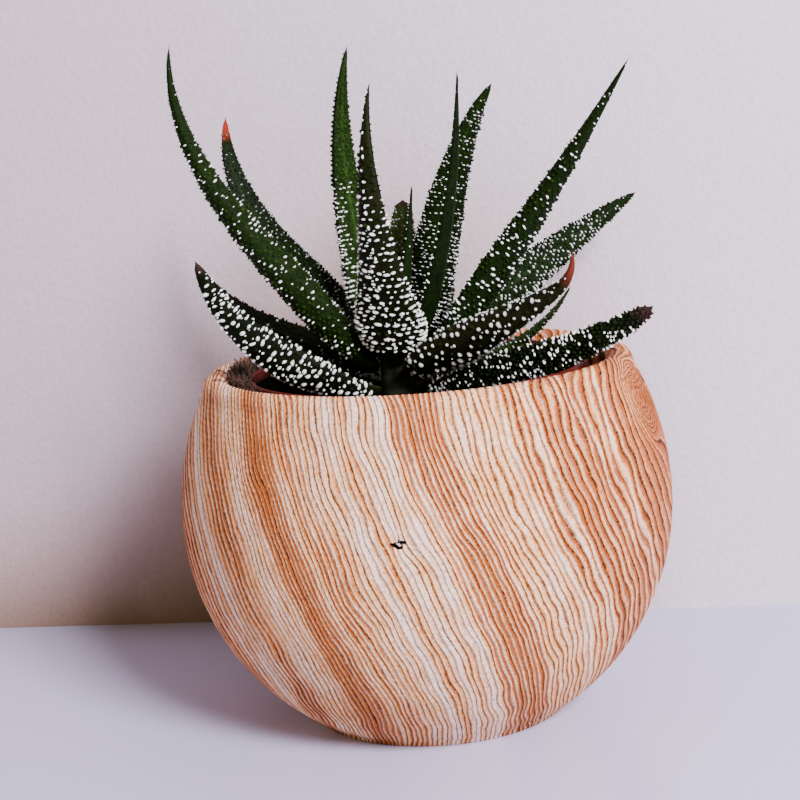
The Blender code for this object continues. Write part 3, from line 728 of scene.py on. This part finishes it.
def coir_paths(count):
    """Hairs of a felted tuft in the gap between bowl and pot: each rises from its foot while its
    angle advances and its radius wanders in slow waves. The tuft swells in its middle and spreads
    above the rim, a few hairs arch over the lip, and none goes below the lip's round top."""
    draw = np.random.default_rng(12)
    share = np.linspace(0, 1, HAIR_STEPS)[None, :]
    start = draw.uniform(TUFT_FROM, TUFT_TO, (count, 1))
    span = draw.uniform(1, 9, (count, 1)) * draw.choice((-1, 1), (count, 1))
    degrees = np.clip(start + span * share, TUFT_FROM, TUFT_TO)
    swell = np.sin(np.pi * (degrees - TUFT_FROM) / (TUFT_TO - TUFT_FROM)) ** 0.6
    drift = [
        np.sin(draw.uniform(0, 6.3, (count, 1)) + share * draw.uniform(1, 5, (count, 1)))
        for _ in range(2)
    ]
    foot = TUFT_BOTTOM + (POT_TOP - TUFT_BOTTOM) * draw.uniform(0, 1, (count, 1))
    top = foot + (TUFT_TOP - foot) * swell * draw.uniform(0, 1, (count, 1)) ** 0.4
    height = foot + (top - foot) * share**0.8 + 0.5 * drift[1]
    room = 2.1 + 0.3 * np.clip(height - POT_TOP, 0, 5)
    radius = TUFT_RADIUS + room * (0.8 * draw.uniform(-1, 1, (count, 1)) + 0.2 * drift[0])
    arch = np.sin(np.pi * share) * draw.uniform(0, 1, (count, 1)) ** 2
    loose = draw.uniform(0, 1, (count, 1)) > 0.985
    radius, height = radius + loose * 6 * arch, height + loose * 2 * arch
    tuck = math.cos(math.asin((LIP_START_HEIGHT - BOWL_WIDEST_HEIGHT) / BOWL_RISE))
    lip_inside, lip_outside = BOWL_HOLLOW_RADIUS * tuck, BOWL_RADIUS * tuck
    off = (radius - (lip_inside + lip_outside) / 2) / ((lip_outside - lip_inside) / 2)
    lip = LIP_START_HEIGHT + LIP_RISE * np.sqrt(np.clip(1 - off**2, 0, 1))
    height = np.where(np.abs(off) < 1, np.maximum(height, lip + 0.15), height)
    return around(radius, np.radians(degrees), height)


def coir(settings):
    """Coir: coarse brown husk fibre, dull, each hair a little lighter or darker."""
    material, add, shader = new_material("coir fibre")
    tint = add("Attribute", attribute_name="tint").outputs["Fac"]
    colour = add("ValToRGB", [tint], [(0, "#140C06"), (0.6, settings.fibre), (1, "#6E4E34")])
    set_inputs(shader, {"Base Color": colour, "Roughness": 0.8})
    return material


def half_width(leaf, share):
    """Half the width at shares of the length: it grows over the first fifth, then tapers off."""
    left = np.clip(1 - share, 0, 1)
    growth = np.sin(np.clip(share / ROOT_GROWTH, 0, 1) * np.pi / 2)
    taper = 0.93 * left**leaf.taper + 0.07 * left**0.4
    return leaf.width / 2 * (ROOT_WIDTH_SHARE + (1 - ROOT_WIDTH_SHARE) * growth) * taper


def leaf_table(leaf, distance):
    """The leaf at even stations from root to tip: spine point, direction across, direction out of
    the inner face, half width and thickness, in the frame of the whole plant. The lean from
    upright goes from the root's to the tip's by the share raised to curl, the azimuth swings by
    sideways, and the blade rolls by turn over its lower half."""
    share = np.linspace(0, 1, LEAF_STEPS + 1)
    lean = leaf.root_lean + (leaf.tip_lean - leaf.root_lean) * share**leaf.curl
    lean = np.radians(lean - leaf.hook * np.clip((share - 0.84) / 0.16, 0, 1))[:, None]
    swing = np.radians(leaf.azimuth + leaf.sideways * share)
    flat = around(1, swing, 0)
    along = flat * np.sin(lean) + UP * np.cos(lean)
    across = around(1, swing + np.pi / 2, 0)
    inner = UP * np.sin(lean) - flat * np.cos(lean)
    step = np.clip(share / 0.5, 0, 1)
    roll = (np.radians(leaf.turn) * step**2 * (3 - 2 * step))[:, None]
    across, inner = turn_pair(across, inner, roll)
    half = half_width(leaf, share)
    growth = np.sin(np.clip(share / ROOT_GROWTH, 0, 1) * np.pi / 2)
    thick = leaf.thickness * (0.5 + 0.5 * growth) * (1 - share) ** 0.6
    thick = np.maximum(np.minimum(thick, 1.5 * half), BLADE_LEAST)
    if distance is None:
        distance = STEM_RADIUS + 0.3 + INNER_SHARE * thick[0] * math.cos(lean[0, 0])
    root = around(distance, math.radians(leaf.azimuth), leaf.root_height) + (STEM_X, 0, 0)
    middle = (along[1:] + along[:-1]) / 2 * leaf.length / LEAF_STEPS
    spine = np.vstack([np.zeros(3), np.cumsum(middle, axis=0)]) + root
    return np.hstack([spine, across, inner, half[:, None], thick[:, None]])


def leaf_points(table, share, angle):
    """Points of the leaf's skin: spine plus half width times cosine across, plus thickness times
    sine outwards, a quarter of it on the inner face, which is hollowed along its middle, and
    three quarters on the outer face, which is drawn out a little to a keel."""
    place = np.clip(share, 0, 1) * LEAF_STEPS
    low = np.minimum(place.astype(int), LEAF_STEPS - 1)
    part = (place - low)[..., None]
    row = table[low] * (1 - part) + table[low + 1] * part
    half, thick = row[..., 9:10], row[..., 10:11]
    cos, sin = np.cos(angle)[..., None], np.sin(angle)[..., None]
    hollow = 1 - 0.55 * np.clip(sin, 0, 1) ** 2
    keel = 1 + 0.06 * np.clip(-sin, 0, 1) ** 8
    depth = np.where(sin > 0, INNER_SHARE * hollow, (1 - INNER_SHARE) * keel)
    slim = np.clip((1 - share[..., None]) / 0.03, 0.12, 1)
    return row[..., :3] + slim * (row[..., 3:6] * half * cos + row[..., 6:9] * thick * depth * sin)


def leaf_body(table, leaf):
    """The skin as a closed tube: rings of points at stations that crowd towards the tip. Also
    gives each point's share, how far it is on the inner face, and how near the line down its
    middle."""
    stations = max(60, int(leaf.length * 1.4))
    share = 1 - (1 - np.linspace(0, 0.997, stations)) ** 1.15
    angle = turns(LEAF_SIDES)
    share_grid, angle_grid = np.meshgrid(share, angle, indexing="ij")
    rings = leaf_points(table, share_grid, angle_grid).reshape(-1, 3)
    points = np.vstack([rings, rings[:LEAF_SIDES].mean(axis=0), table[-1, :3]])
    shares = np.append(share_grid.ravel(), (0, 1))
    inside = np.append(np.clip(np.sin(angle_grid).ravel() * 2, 0, 1), (0, 0))
    rib = inside * np.append(np.exp(-((np.cos(angle_grid).ravel() / 0.13) ** 2)), (0, 0))
    return points, outward(points, closed_faces(stations, LEAF_SIDES)), shares, inside, rib


def face_pearls(leaf, pearls, middle, draw):
    """Pearls of one face in rows across it, each row set off by half a pitch from the last. A row
    of the result is a pearl: share of the length, angle, size, stretch along the leaf, whiteness."""
    rows = np.arange(int(leaf.length * 0.92 / pearls.row))
    row, column = np.meshgrid(rows, np.arange(-14, 15), indexing="ij")
    share = 0.07 + (row + draw.normal(0, 0.10, row.shape)) * pearls.row / leaf.length
    reach = half_width(leaf, share) * 1.25 + 0.3
    side = (column + 0.5 * (row % 2) + draw.normal(0, 0.12, row.shape)) * pearls.pitch
    keep = (np.abs(side) < reach - 0.4) & (share < 0.985)
    if np.sin(middle) > 0:
        keep &= (np.abs(side) > pearls.clear * reach) | (share > pearls.up_to)
        keep &= draw.uniform(0, 1, row.shape) < pearls.inside
    else:
        keep &= draw.uniform(0, 1, row.shape) > pearls.missing
    share, angle = share[keep], (middle + side / reach * np.pi / 2)[keep]
    size = np.clip(draw.lognormal(0, 0.22, len(share)), 0.6, 1.5)
    white = whiteness(pearls, share, draw)
    stretch = np.where(white > 0, 1, GREEN_STRETCH)
    return np.stack([share, angle, size, stretch, white], axis=-1)


def whiteness(pearls, share, draw):
    """How white each pearl is: nought for the dull ones and for all beyond up_to, about."""
    white = draw.uniform(0.75, 1.0, len(share)) * pearls.white
    dull = draw.uniform(0, 1, len(share)) < pearls.dull
    beyond = share > pearls.up_to + draw.normal(0, 0.05, len(share)) * (pearls.up_to < 1)
    return np.where(dull | beyond, 0, white)


def fine_pearls(leaf, pearls, faces, draw):
    """Small pearls half a row and half a pitch away from some of the others."""
    some = faces[draw.uniform(0, 1, len(faces)) < pearls.fine]
    reach = half_width(leaf, some[:, 0]) * 1.25 + 0.3
    share = some[:, 0] + 0.5 * pearls.row / leaf.length
    angle = some[:, 1] + draw.uniform(-0.6, 0.6, len(some)) * pearls.pitch / reach * np.pi / 2
    keep = share < 0.98
    size = draw.uniform(0.32, 0.6, len(some))
    return np.stack([share, angle, size, np.ones(len(some)), some[:, 4]], axis=-1)[keep]


def line_pearls(leaf, pearls, angle, spacing, size, stretch, draw):
    """One bead after another along the leaf at one angle."""
    share = np.arange(0.10, 0.975, spacing / leaf.length)
    share = share + draw.normal(0, 0.12, len(share)) * spacing / leaf.length
    angles = angle + draw.normal(0, 0.08, len(share))
    sizes = size * draw.uniform(0.7, 1.2, len(share))
    white = whiteness(pearls, share, draw) if stretch == 1 else np.ones(len(share))
    return np.stack([share, angles, sizes, np.full(len(share), stretch), white], axis=-1)


def pearl_places(leaf, pearls, draw):
    """All pearls of a leaf: both faces, the fine ones, both margins and the keel."""
    faces = np.vstack([face_pearls(leaf, pearls, angle, draw) for angle in (1.5 * np.pi, 0.5 * np.pi)])
    rows = [faces, fine_pearls(leaf, pearls, faces, draw)]
    for margin in (0.0, np.pi):
        rows.append(line_pearls(leaf, pearls, margin, pearls.row * 1.05, 0.9, 1.0, draw))
    if pearls.keel:
        rows.append(line_pearls(leaf, pearls, 1.5 * np.pi, 2.6, 0.8 * pearls.keel, 2.4, draw))
    return np.vstack(rows)


def pearl_shells(table, leaf, pearls, height, draw):
    """Low domes on the skin: a ring sunk below it, two rings above and a top, each scaled by the
    pearl's half sizes along the leaf, across it and out of it. The outline is drawn in and out
    by two sines, and each dome is turned a little on the skin. Also gives each point's whiteness,
    below nought on the domes that stay green."""
    share, angle, size, stretch, white = pearl_places(leaf, pearls, draw).T
    count = len(share)
    small = 1e-3
    point = leaf_points(table, share, angle)
    lengthwise, crosswise = (
        leaf_points(table, share + step, angle + turn) - leaf_points(table, share - step, angle - turn)
        for step, turn in ((small, 0), (0, small))
    )
    lengthwise = unit(lengthwise)
    normal = unit(np.cross(lengthwise, crosswise))
    place = (np.clip(share, 0, 1) * LEAF_STEPS).astype(int)
    away = point - table[place, :3]
    normal *= np.sign((normal * away).sum(axis=1))[:, None]
    crosswise = np.cross(normal, lengthwise)
    skew = draw.normal(0, 0.2, count)[:, None]
    crosswise, lengthwise = turn_pair(crosswise, lengthwise, skew)
    size = size * (1 - pearls.fade * share)
    room = np.clip(table[place, 9] / 2.2, 0.35, 1)
    wide = pearls.wide * size * room * draw.uniform(0.8, 1.35, count) / np.sqrt(stretch)
    long = pearls.long * size * np.sqrt(room) * stretch
    tall = height * np.sqrt(size * room) * np.where(white > 0, 1, 0.95)
    turn = turns(PEARL_SIDES)
    ragged = 1 + sum(
        draw.uniform(0, 0.15, (count, 1)) * np.sin(lobes * turn + draw.uniform(0, 6.3, (count, 1)))
        for lobes in (2, 3)
    )
    rings = ((1.02, -0.35), (0.90, 0.38), (0.52, 0.84))
    across, along = (
        np.hstack([*(r * wave(turn) * ragged for r, _ in rings), np.zeros((count, 2))])
        for wave in (np.cos, np.sin)
    )
    above = np.append(np.repeat([h for _, h in rings], PEARL_SIDES), (-0.35, 1.0))
    points = point[:, None] + sum(
        way[:, None] * (shape * size[:, None])[..., None]
        for way, shape, size in (
            (crosswise, across, wide), (lengthwise, along, long), (normal, above, tall)
        )
    )
    points, faces = alike_shells(points, closed_faces(3, PEARL_SIDES))
    shade = np.append(np.array([0.0, 0.8, 1.0]).repeat(PEARL_SIDES), (0, 1))
    pearl = np.where(white > 0, white, -draw.uniform(0.3, 1, count))[:, None] * shade
    inside = np.clip(np.sin(angle) * 2, 0, 1)
    share, inside = (np.repeat(v, 3 * PEARL_SIDES + 2) for v in (share, inside))
    return points, faces, share, inside, pearl.ravel()


def make_leaf(number, leaf, pearls, distance, settings, material):
    """One leaf with its pearls in one mesh, and what its colour is read from."""
    draw = np.random.default_rng(100 + number)
    table = leaf_table(leaf, distance)
    skin, skin_faces, skin_share, inside, rib = leaf_body(table, leaf)
    dots, dot_faces, dot_share, dot_inside, pearl = pearl_shells(
        table, leaf, pearls, settings.pearl_height / MM, draw
    )
    points, faces = join_shells([(skin, skin_faces), (dots, dot_faces)])
    share = np.concatenate([skin_share, dot_share])
    dry = np.clip(2.2 * ((share - 1) * leaf.length / pearls.dry + 1), 0, 1)
    same = np.ones(len(share))
    inside, rib = np.append(inside, dot_inside), np.append(rib, 0 * dot_share)
    values = {
        "leaf": np.stack([pearls.brown * same, inside, pearls.tint * same], axis=-1),
        "tip": np.stack([dry, pearls.red * same, rib], axis=-1),
        "pearl": np.append(np.zeros(len(skin)), pearl),
    }
    name = f"leaf_{number:02d}"
    make_piece(f"pearled_{name}", points, faces, name, material, values)


def pearled_skin(settings):
    """Succulent leaf skin: blackish green with a waxy satin sheen, lighter green inside with a pale
    line down the middle, brown where the sun has burnt it, and bone-white pearls of cork that are
    rougher than the skin; the tips dry to brown or red."""
    material, add, shader = new_material("waxy leaf skin with corky pearls")
    place = add("TexCoord").outputs["Object"]
    leaf, tip = (add("Attribute", attribute_name=key).outputs["Vector"] for key in ("leaf", "tip"))
    brown, inside, tint = add("SeparateXYZ", [leaf]).outputs
    dry, red, rib = add("SeparateXYZ", [tip]).outputs
    pearl = add("Attribute", attribute_name="pearl").outputs["Fac"]

    # Green, mottled every few millimetres, lighter on the inner face, its rib and the green bumps
    mottle = add("TexNoise", {"Vector": place, "Scale": 160.0, "Detail": 6.0, "Roughness": 0.7})
    cells = add("TexNoise", {"Vector": place, "Scale": 1000.0, "Detail": 2.0})
    pores = add("TexNoise", {"Vector": place, "Scale": 1800.0, "Detail": 3.0})
    varied = tint
    for value, share in ((inside, 0.22), (rib, 0.16), (pearl, -0.22), (mottle, 0.22), (cells, 0.38)):
        varied = add("Math", [value, share, varied], operation="MULTIPLY_ADD")
    green = add(
        "ValToRGB",
        [varied],
        [(0.4, settings.dark_skin), (0.68, "#122006"), (0.88, "#263C12"), (1, settings.light_skin)],
    )

    # Burnt brown in patches, then the dry tip, then the pearls
    patch = add("Math", [mottle, 1.6, -0.3], operation="MULTIPLY_ADD", use_clamp=True)
    burnt = add("Math", [brown, patch], operation="MULTIPLY", use_clamp=True)
    dried = add("Mix", {0: red, 6: "#2E211A", 7: "#8E2E18"}, data_type="RGBA")
    cover = add("ValToRGB", [pearl], [(0.08, 0), (0.8, 0.96)])
    colour = green
    for share, over in ((burnt, "#3A2419"), (dry, dried), (cover, settings.pearl)):
        colour = add("Mix", {0: share, 6: colour, 7: over}, data_type="RGBA")
    set_inputs(shader, {
        "Base Color": colour,
        "Roughness": add("MapRange", {0: cover, 3: 0.5, 4: 0.65}),
        "Specular IOR Level": 0.03,
        "Normal": add("Bump", {"Strength": 0.3, "Distance": 0.00012, "Height": pores}),
    })
    return material


def white_lacquer(settings):
    """Lacquered table top: near white with a soft, wide sheen."""
    material, _, shader = new_material("white lacquer")
    set_inputs(shader, {"Base Color": settings.table, "Roughness": 0.24})
    return material


def rough_plaster(settings):
    """Painted plaster: pale mauve-grey, matt, with a fine orange-peel grain; painted shade makes it
    darker and more mauve towards the left and dim brown where the table and the bowl close it in.
    Its back lets light and sight through, so that the plant can be looked at from behind."""
    material, add, shader = new_material("painted plaster")
    place = add("TexCoord").outputs["Object"]
    across = add("SeparateXYZ", [place])
    right, corner_shade_fade = (
        add("MapRange", [across, start, end]) for start, end in ((-0.16, 0.1), (-0.02, 0.08))
    )
    grain = add("TexNoise", {"Vector": place, "Scale": 620.0, "Detail": 3.0, "Roughness": 0.6})
    tone = add("MapRange", [grain, 0.3, 0.7, 0.95, 1.05])
    # Painted shade: the paint is darker and more mauve towards the left, away from the window light
    tint = add("Mix", {0: right, 6: settings.wall_left_shade, 7: settings.wall}, data_type="RGBA")
    paint = add("VectorMath", {0: tint, "Scale": tone}, operation="SCALE")
    # Painted shade: dim brown where the table and the bowl close off the light, fading out towards the
    # right
    corner = add("AmbientOcclusion", {"Distance": 0.07}, samples=8).outputs["AO"]
    shade = add("ValToRGB", [corner], [(0.2, "#645C40"), (0.5, "#B5A384"), (0.7, "#EADDD0"), (0.95, 1)])
    painted_corner_shade = add("Mix", {0: corner_shade_fade, 6: shade, 7: "#FFFFFF"}, data_type="RGBA")
    set_inputs(shader, {
        "Base Color": add("VectorMath", [paint, painted_corner_shade], operation="MULTIPLY"),
        "Roughness": 0.85,
        "Normal": add("Bump", {"Strength": 0.6, "Distance": 0.0005, "Height": grain}),
    })
    back = add("NewGeometry").outputs["Backfacing"]
    shown = add("MixShader", [back, shader, add("BsdfTransparent")])
    set_inputs(material.node_tree.nodes["Material Output"], {"Surface": shown})
    return material


def paint_setting(name, description, code):
    """A colour setting that starts from a hex code."""
    return FloatVectorProperty(
        name=name, description=description, subtype="COLOR", size=4, default=linear_colour(code)
    )


class StageSettings(PropertyGroup):
    table: paint_setting("Table", "Colour of the table", "#C3C1DE")
    wall: paint_setting("Wall", "Colour of the wall at the right", "#D3C9CF")
    # Painted shade: the wall's colour at the left is darker, for the window light falling off
    wall_left_shade: paint_setting("Wall, left", "Colour of the wall at the left", "#BFABB2")
    key_power: FloatProperty(
        name="Key light", description="Power of the window light", unit="POWER", default=51.5
    )


class BowlSettings(PropertyGroup):
    groove_depth: FloatProperty(
        name="Groove depth", description="How deep the grain is brushed out", unit="LENGTH",
        default=0.00014,
    )
    pale_wood: paint_setting("Pale wood", "Colour of the pale wood", "#FFDCC4")
    orange_wood: paint_setting("Orange wood", "Colour of the dark bands", "#D06D20")
    line_colour: paint_setting("Grain lines", "Colour in the grooves", "#401A08")


class PotSettings(PropertyGroup):
    plastic: paint_setting("Plastic", "Colour of the grow pot", "#40100A")
    soil: paint_setting("Soil", "Colour of the potting mix", "#1E1712")
    crumbs: IntProperty(
        name="Crumbs", description="Number of bark crumbs on the soil", default=900, min=1
    )
    fibre: paint_setting("Coir", "Colour of the coir", "#3C2616")
    hairs: IntProperty(name="Hairs", description="Number of coir hairs", default=2300, min=1)


class LeafSettings(PropertyGroup):
    dark_skin: paint_setting("Dark skin", "Darkest green of the leaves", "#050B03")
    light_skin: paint_setting("Light skin", "Lightest green of the leaves", "#42582A")
    pearl: paint_setting("Pearls", "Colour of the pearls", "#F1F2E8")
    pearl_height: FloatProperty(
        name="Pearl height", description="How far a full pearl stands out", unit="LENGTH",
        default=0.0006,
    )


class SUCCULENT_OT_stage(Operator):
    """Camera, window light, table and wall"""

    bl_idname = "succulent.stage"
    bl_label = "Stage"

    def execute(self, context):
        settings = context.scene.succulent_stage
        add_camera(context.scene)
        add_lights(context.scene, settings)
        half = TABLE_HALF
        edge = [(-half, -half, 0), (half, -half, 0), (half, half, 0), (-half, half, 0)]
        add_sheet("table_top", edge, white_lacquer(settings))
        foot = [(*WALL_LEFT, 0), (*WALL_RIGHT, 0)]
        head = [(*WALL_RIGHT, WALL_HEIGHT), (*WALL_LEFT, WALL_HEIGHT)]
        add_sheet("wall", foot + head, rough_plaster(settings))
        return {"FINISHED"}


class SUCCULENT_OT_bowl(Operator):
    """The turned and brushed wooden bowl"""

    bl_idname = "succulent.bowl"
    bl_label = "Bowl"

    def execute(self, context):
        settings = context.scene.succulent_bowl
        points, faces, values = bowl_surface(settings)
        material = brushed_softwood(settings)
        make_piece("brushed_bowl", points, faces, "planter_bowl", material, values)
        return {"FINISHED"}


class SUCCULENT_OT_grow_pot(Operator):
    """The thin plastic grow pot with its drain holes"""

    bl_idname = "succulent.grow_pot"
    bl_label = "Grow pot"

    def execute(self, context):
        points, faces = turned_shell(grow_pot_profile(), POT_COLUMNS)
        height = points[:, 2]
        outer = POT_BASE_RADIUS + POT_SLOPE * (height - POT_BOTTOM)
        outer = np.where(height > POT_RIM_BOTTOM, POT_RIM_RADIUS, outer)
        # Painted shade: the inner face below the top is marked to be painted near black
        inside_wall = np.hypot(points[:, 0], points[:, 1]) < outer - POT_WALL / 2
        values = {"inner_shade": inside_wall * np.clip(POT_TOP - 0.5 - height, 0, 1)}
        material = moulded_plastic(context.scene.succulent_pot)
        pot = make_piece("grow_pot", points, faces, "nursery_pot", material, values)
        for hole in range(DRAIN_HOLES):
            centre = around(DRAIN_CIRCLE_RADIUS, 2 * math.pi * (hole + 0.5) / DRAIN_HOLES, 0)
            drill(pot, centre, DRAIN_HOLE_RADIUS, POT_BOTTOM - 2, POT_BOTTOM + POT_WALL + 0.2)
        return {"FINISHED"}


class SUCCULENT_OT_soil(Operator):
    """Potting mix with bark crumbs, and the stem that stands in it"""

    bl_idname = "succulent.soil"
    bl_label = "Soil and stem"

    def execute(self, context):
        settings = context.scene.succulent_pot
        shell, shell_faces = soil_shell()
        crumbs, crumb_faces, tint = soil_crumbs(settings.crumbs)
        points, faces = join_shells([(shell, shell_faces), (crumbs, crumb_faces)])
        values = {"tint": np.append(np.full(len(shell), 0.25), tint)}
        make_piece("potting_mix", points, faces, "potting_soil", potting_mix(settings), values)
        points, faces = stem_surface()
        make_piece("short_stem", points, faces, "rosette_stem", young_stem())
        return {"FINISHED"}


class SUCCULENT_OT_coir(Operator):
    """The tuft of coir between bowl and grow pot"""

    bl_idname = "succulent.coir"
    bl_label = "Coir tuft"

    def execute(self, context):
        settings = context.scene.succulent_pot
        draw = np.random.default_rng(13)
        paths = coir_paths(settings.hairs)
        points, faces = tubes(paths, draw.uniform(0.045, 0.1, len(paths)), HAIR_SIDES)
        tint = np.repeat(draw.uniform(0, 1, len(paths)), len(points) // len(paths))
        make_piece("coir_tuft", points, faces, "fibre_tuft", coir(settings), {"tint": tint})
        return {"FINISHED"}


class SUCCULENT_OT_leaves(Operator):
    """The rosette: every leaf with its pearls"""

    bl_idname = "succulent.leaves"
    bl_label = "Leaves"

    def execute(self, context):
        settings = context.scene.succulent_leaves
        material = pearled_skin(settings)
        grown = [(None, leaf, pearls) for leaf, pearls in LEAVES] + list(SPIKES)
        for number, (distance, leaf, pearls) in enumerate(grown, start=1):
            make_leaf(number, leaf, pearls, distance, settings, material)
        return {"FINISHED"}


class SUCCULENT_PT_panel(Panel):
    """The pieces of the potted succulent and their settings"""

    bl_label = "Potted succulent"
    bl_idname = "SUCCULENT_PT_panel"
    bl_space_type = "VIEW_3D"
    bl_region_type = "UI"
    bl_category = "Succulent"

    def draw(self, context):
        for group in GROUPS:
            box = self.layout.box()
            settings = getattr(context.scene, group)
            for key in settings.__annotations__:
                box.prop(settings, key)
        for operator in STEPS:
            self.layout.operator(operator.bl_idname)


def add_sheet(name, corners, material):
    """A flat stage surface with four corners in millimetres."""
    mesh = bpy.data.meshes.new(name)
    mesh.from_pydata([[v * MM for v in corner] for corner in corners], [], [range(4)])
    mesh.materials.append(material)
    sheet = link_new(name, mesh)


def set_place(thing, x, y, z, place):
    """Puts an object at a place, with its three axes along x, y and z."""
    thing.matrix_world = Matrix.Translation(place) @ Matrix(np.stack([x, y, z], axis=1).tolist()).to_4x4()


def add_camera(scene):
    """The camera 450 mm in front and 162 mm up: it looks down 10.2 degrees and leans by 4.2 degrees.
    Its axes are to the right, up and backwards."""
    yaw, pitch, roll = (math.radians(v) for v in CAMERA_TURNS)
    ahead = np.array([math.sin(yaw) * math.cos(pitch), math.cos(yaw) * math.cos(pitch), math.sin(pitch)])
    level = np.array([math.cos(yaw), -math.sin(yaw), 0.0])
    upright = np.cross(level, ahead)
    data = bpy.data.cameras.new("camera")
    data.sensor_width = SENSOR
    data.lens = CAMERA_FOCUS * SENSOR
    data.clip_start = 0.01
    scene.camera = link_new("camera", data)
    set_place(scene.camera, *turn_pair(level, upright, -roll), -ahead, CAMERA_PLACE)


def add_light(name, power, size, place, colour):
    """A square area light at a place, turned so that its face looks at the middle of the plant."""
    data = bpy.data.lights.new(name, "AREA")
    data.energy = power
    data.size = size
    data.color = linear_colour(colour)[:3]
    away = unit(np.array(place) - LIGHT_TARGET)
    level = unit(np.cross(UP, away))
    set_place(link_new(name, data), level, np.cross(away, level), away, place)


def add_lights(scene, settings):
    """A wide window at the upper right in front, a weak fill from the left, and a pale room."""
    add_light("window", settings.key_power, 0.38, (0.55, -0.95, 0.75), "#F4F1FF")
    add_light("fill", settings.key_power * FILL_SHARE, 0.9, (-0.9, -0.7, 0.5), "#FFEFC8")
    world = bpy.data.worlds.new("pale room")
    world.use_nodes = True
    set_inputs(world.node_tree.nodes["Background"], {"Color": "#FFECC2", "Strength": ROOM_STRENGTH})
    scene.world = world


GROUPS = {
    "succulent_stage": StageSettings,
    "succulent_bowl": BowlSettings,
    "succulent_pot": PotSettings,
    "succulent_leaves": LeafSettings,
}
STEPS = (
    SUCCULENT_OT_stage,
    SUCCULENT_OT_bowl,
    SUCCULENT_OT_grow_pot,
    SUCCULENT_OT_soil,
    SUCCULENT_OT_coir,
    SUCCULENT_OT_leaves,
)


def register():
    for group, settings in GROUPS.items():
        bpy.utils.register_class(settings)
        setattr(bpy.types.Scene, group, PointerProperty(type=settings))
    for step in (*STEPS, SUCCULENT_PT_panel):
        bpy.utils.register_class(step)


def unregister():
    for step in (SUCCULENT_PT_panel, *reversed(STEPS)):
        bpy.utils.unregister_class(step)
    for group, settings in reversed(GROUPS.items()):
        delattr(bpy.types.Scene, group)
        bpy.utils.unregister_class(settings)


def main():
    register()
    bpy.ops.succulent.stage()
    bpy.ops.succulent.bowl()
    bpy.ops.succulent.grow_pot()
    bpy.ops.succulent.soil()
    bpy.ops.succulent.coir()
    bpy.ops.succulent.leaves()


if __name__ == "__main__":
    main()
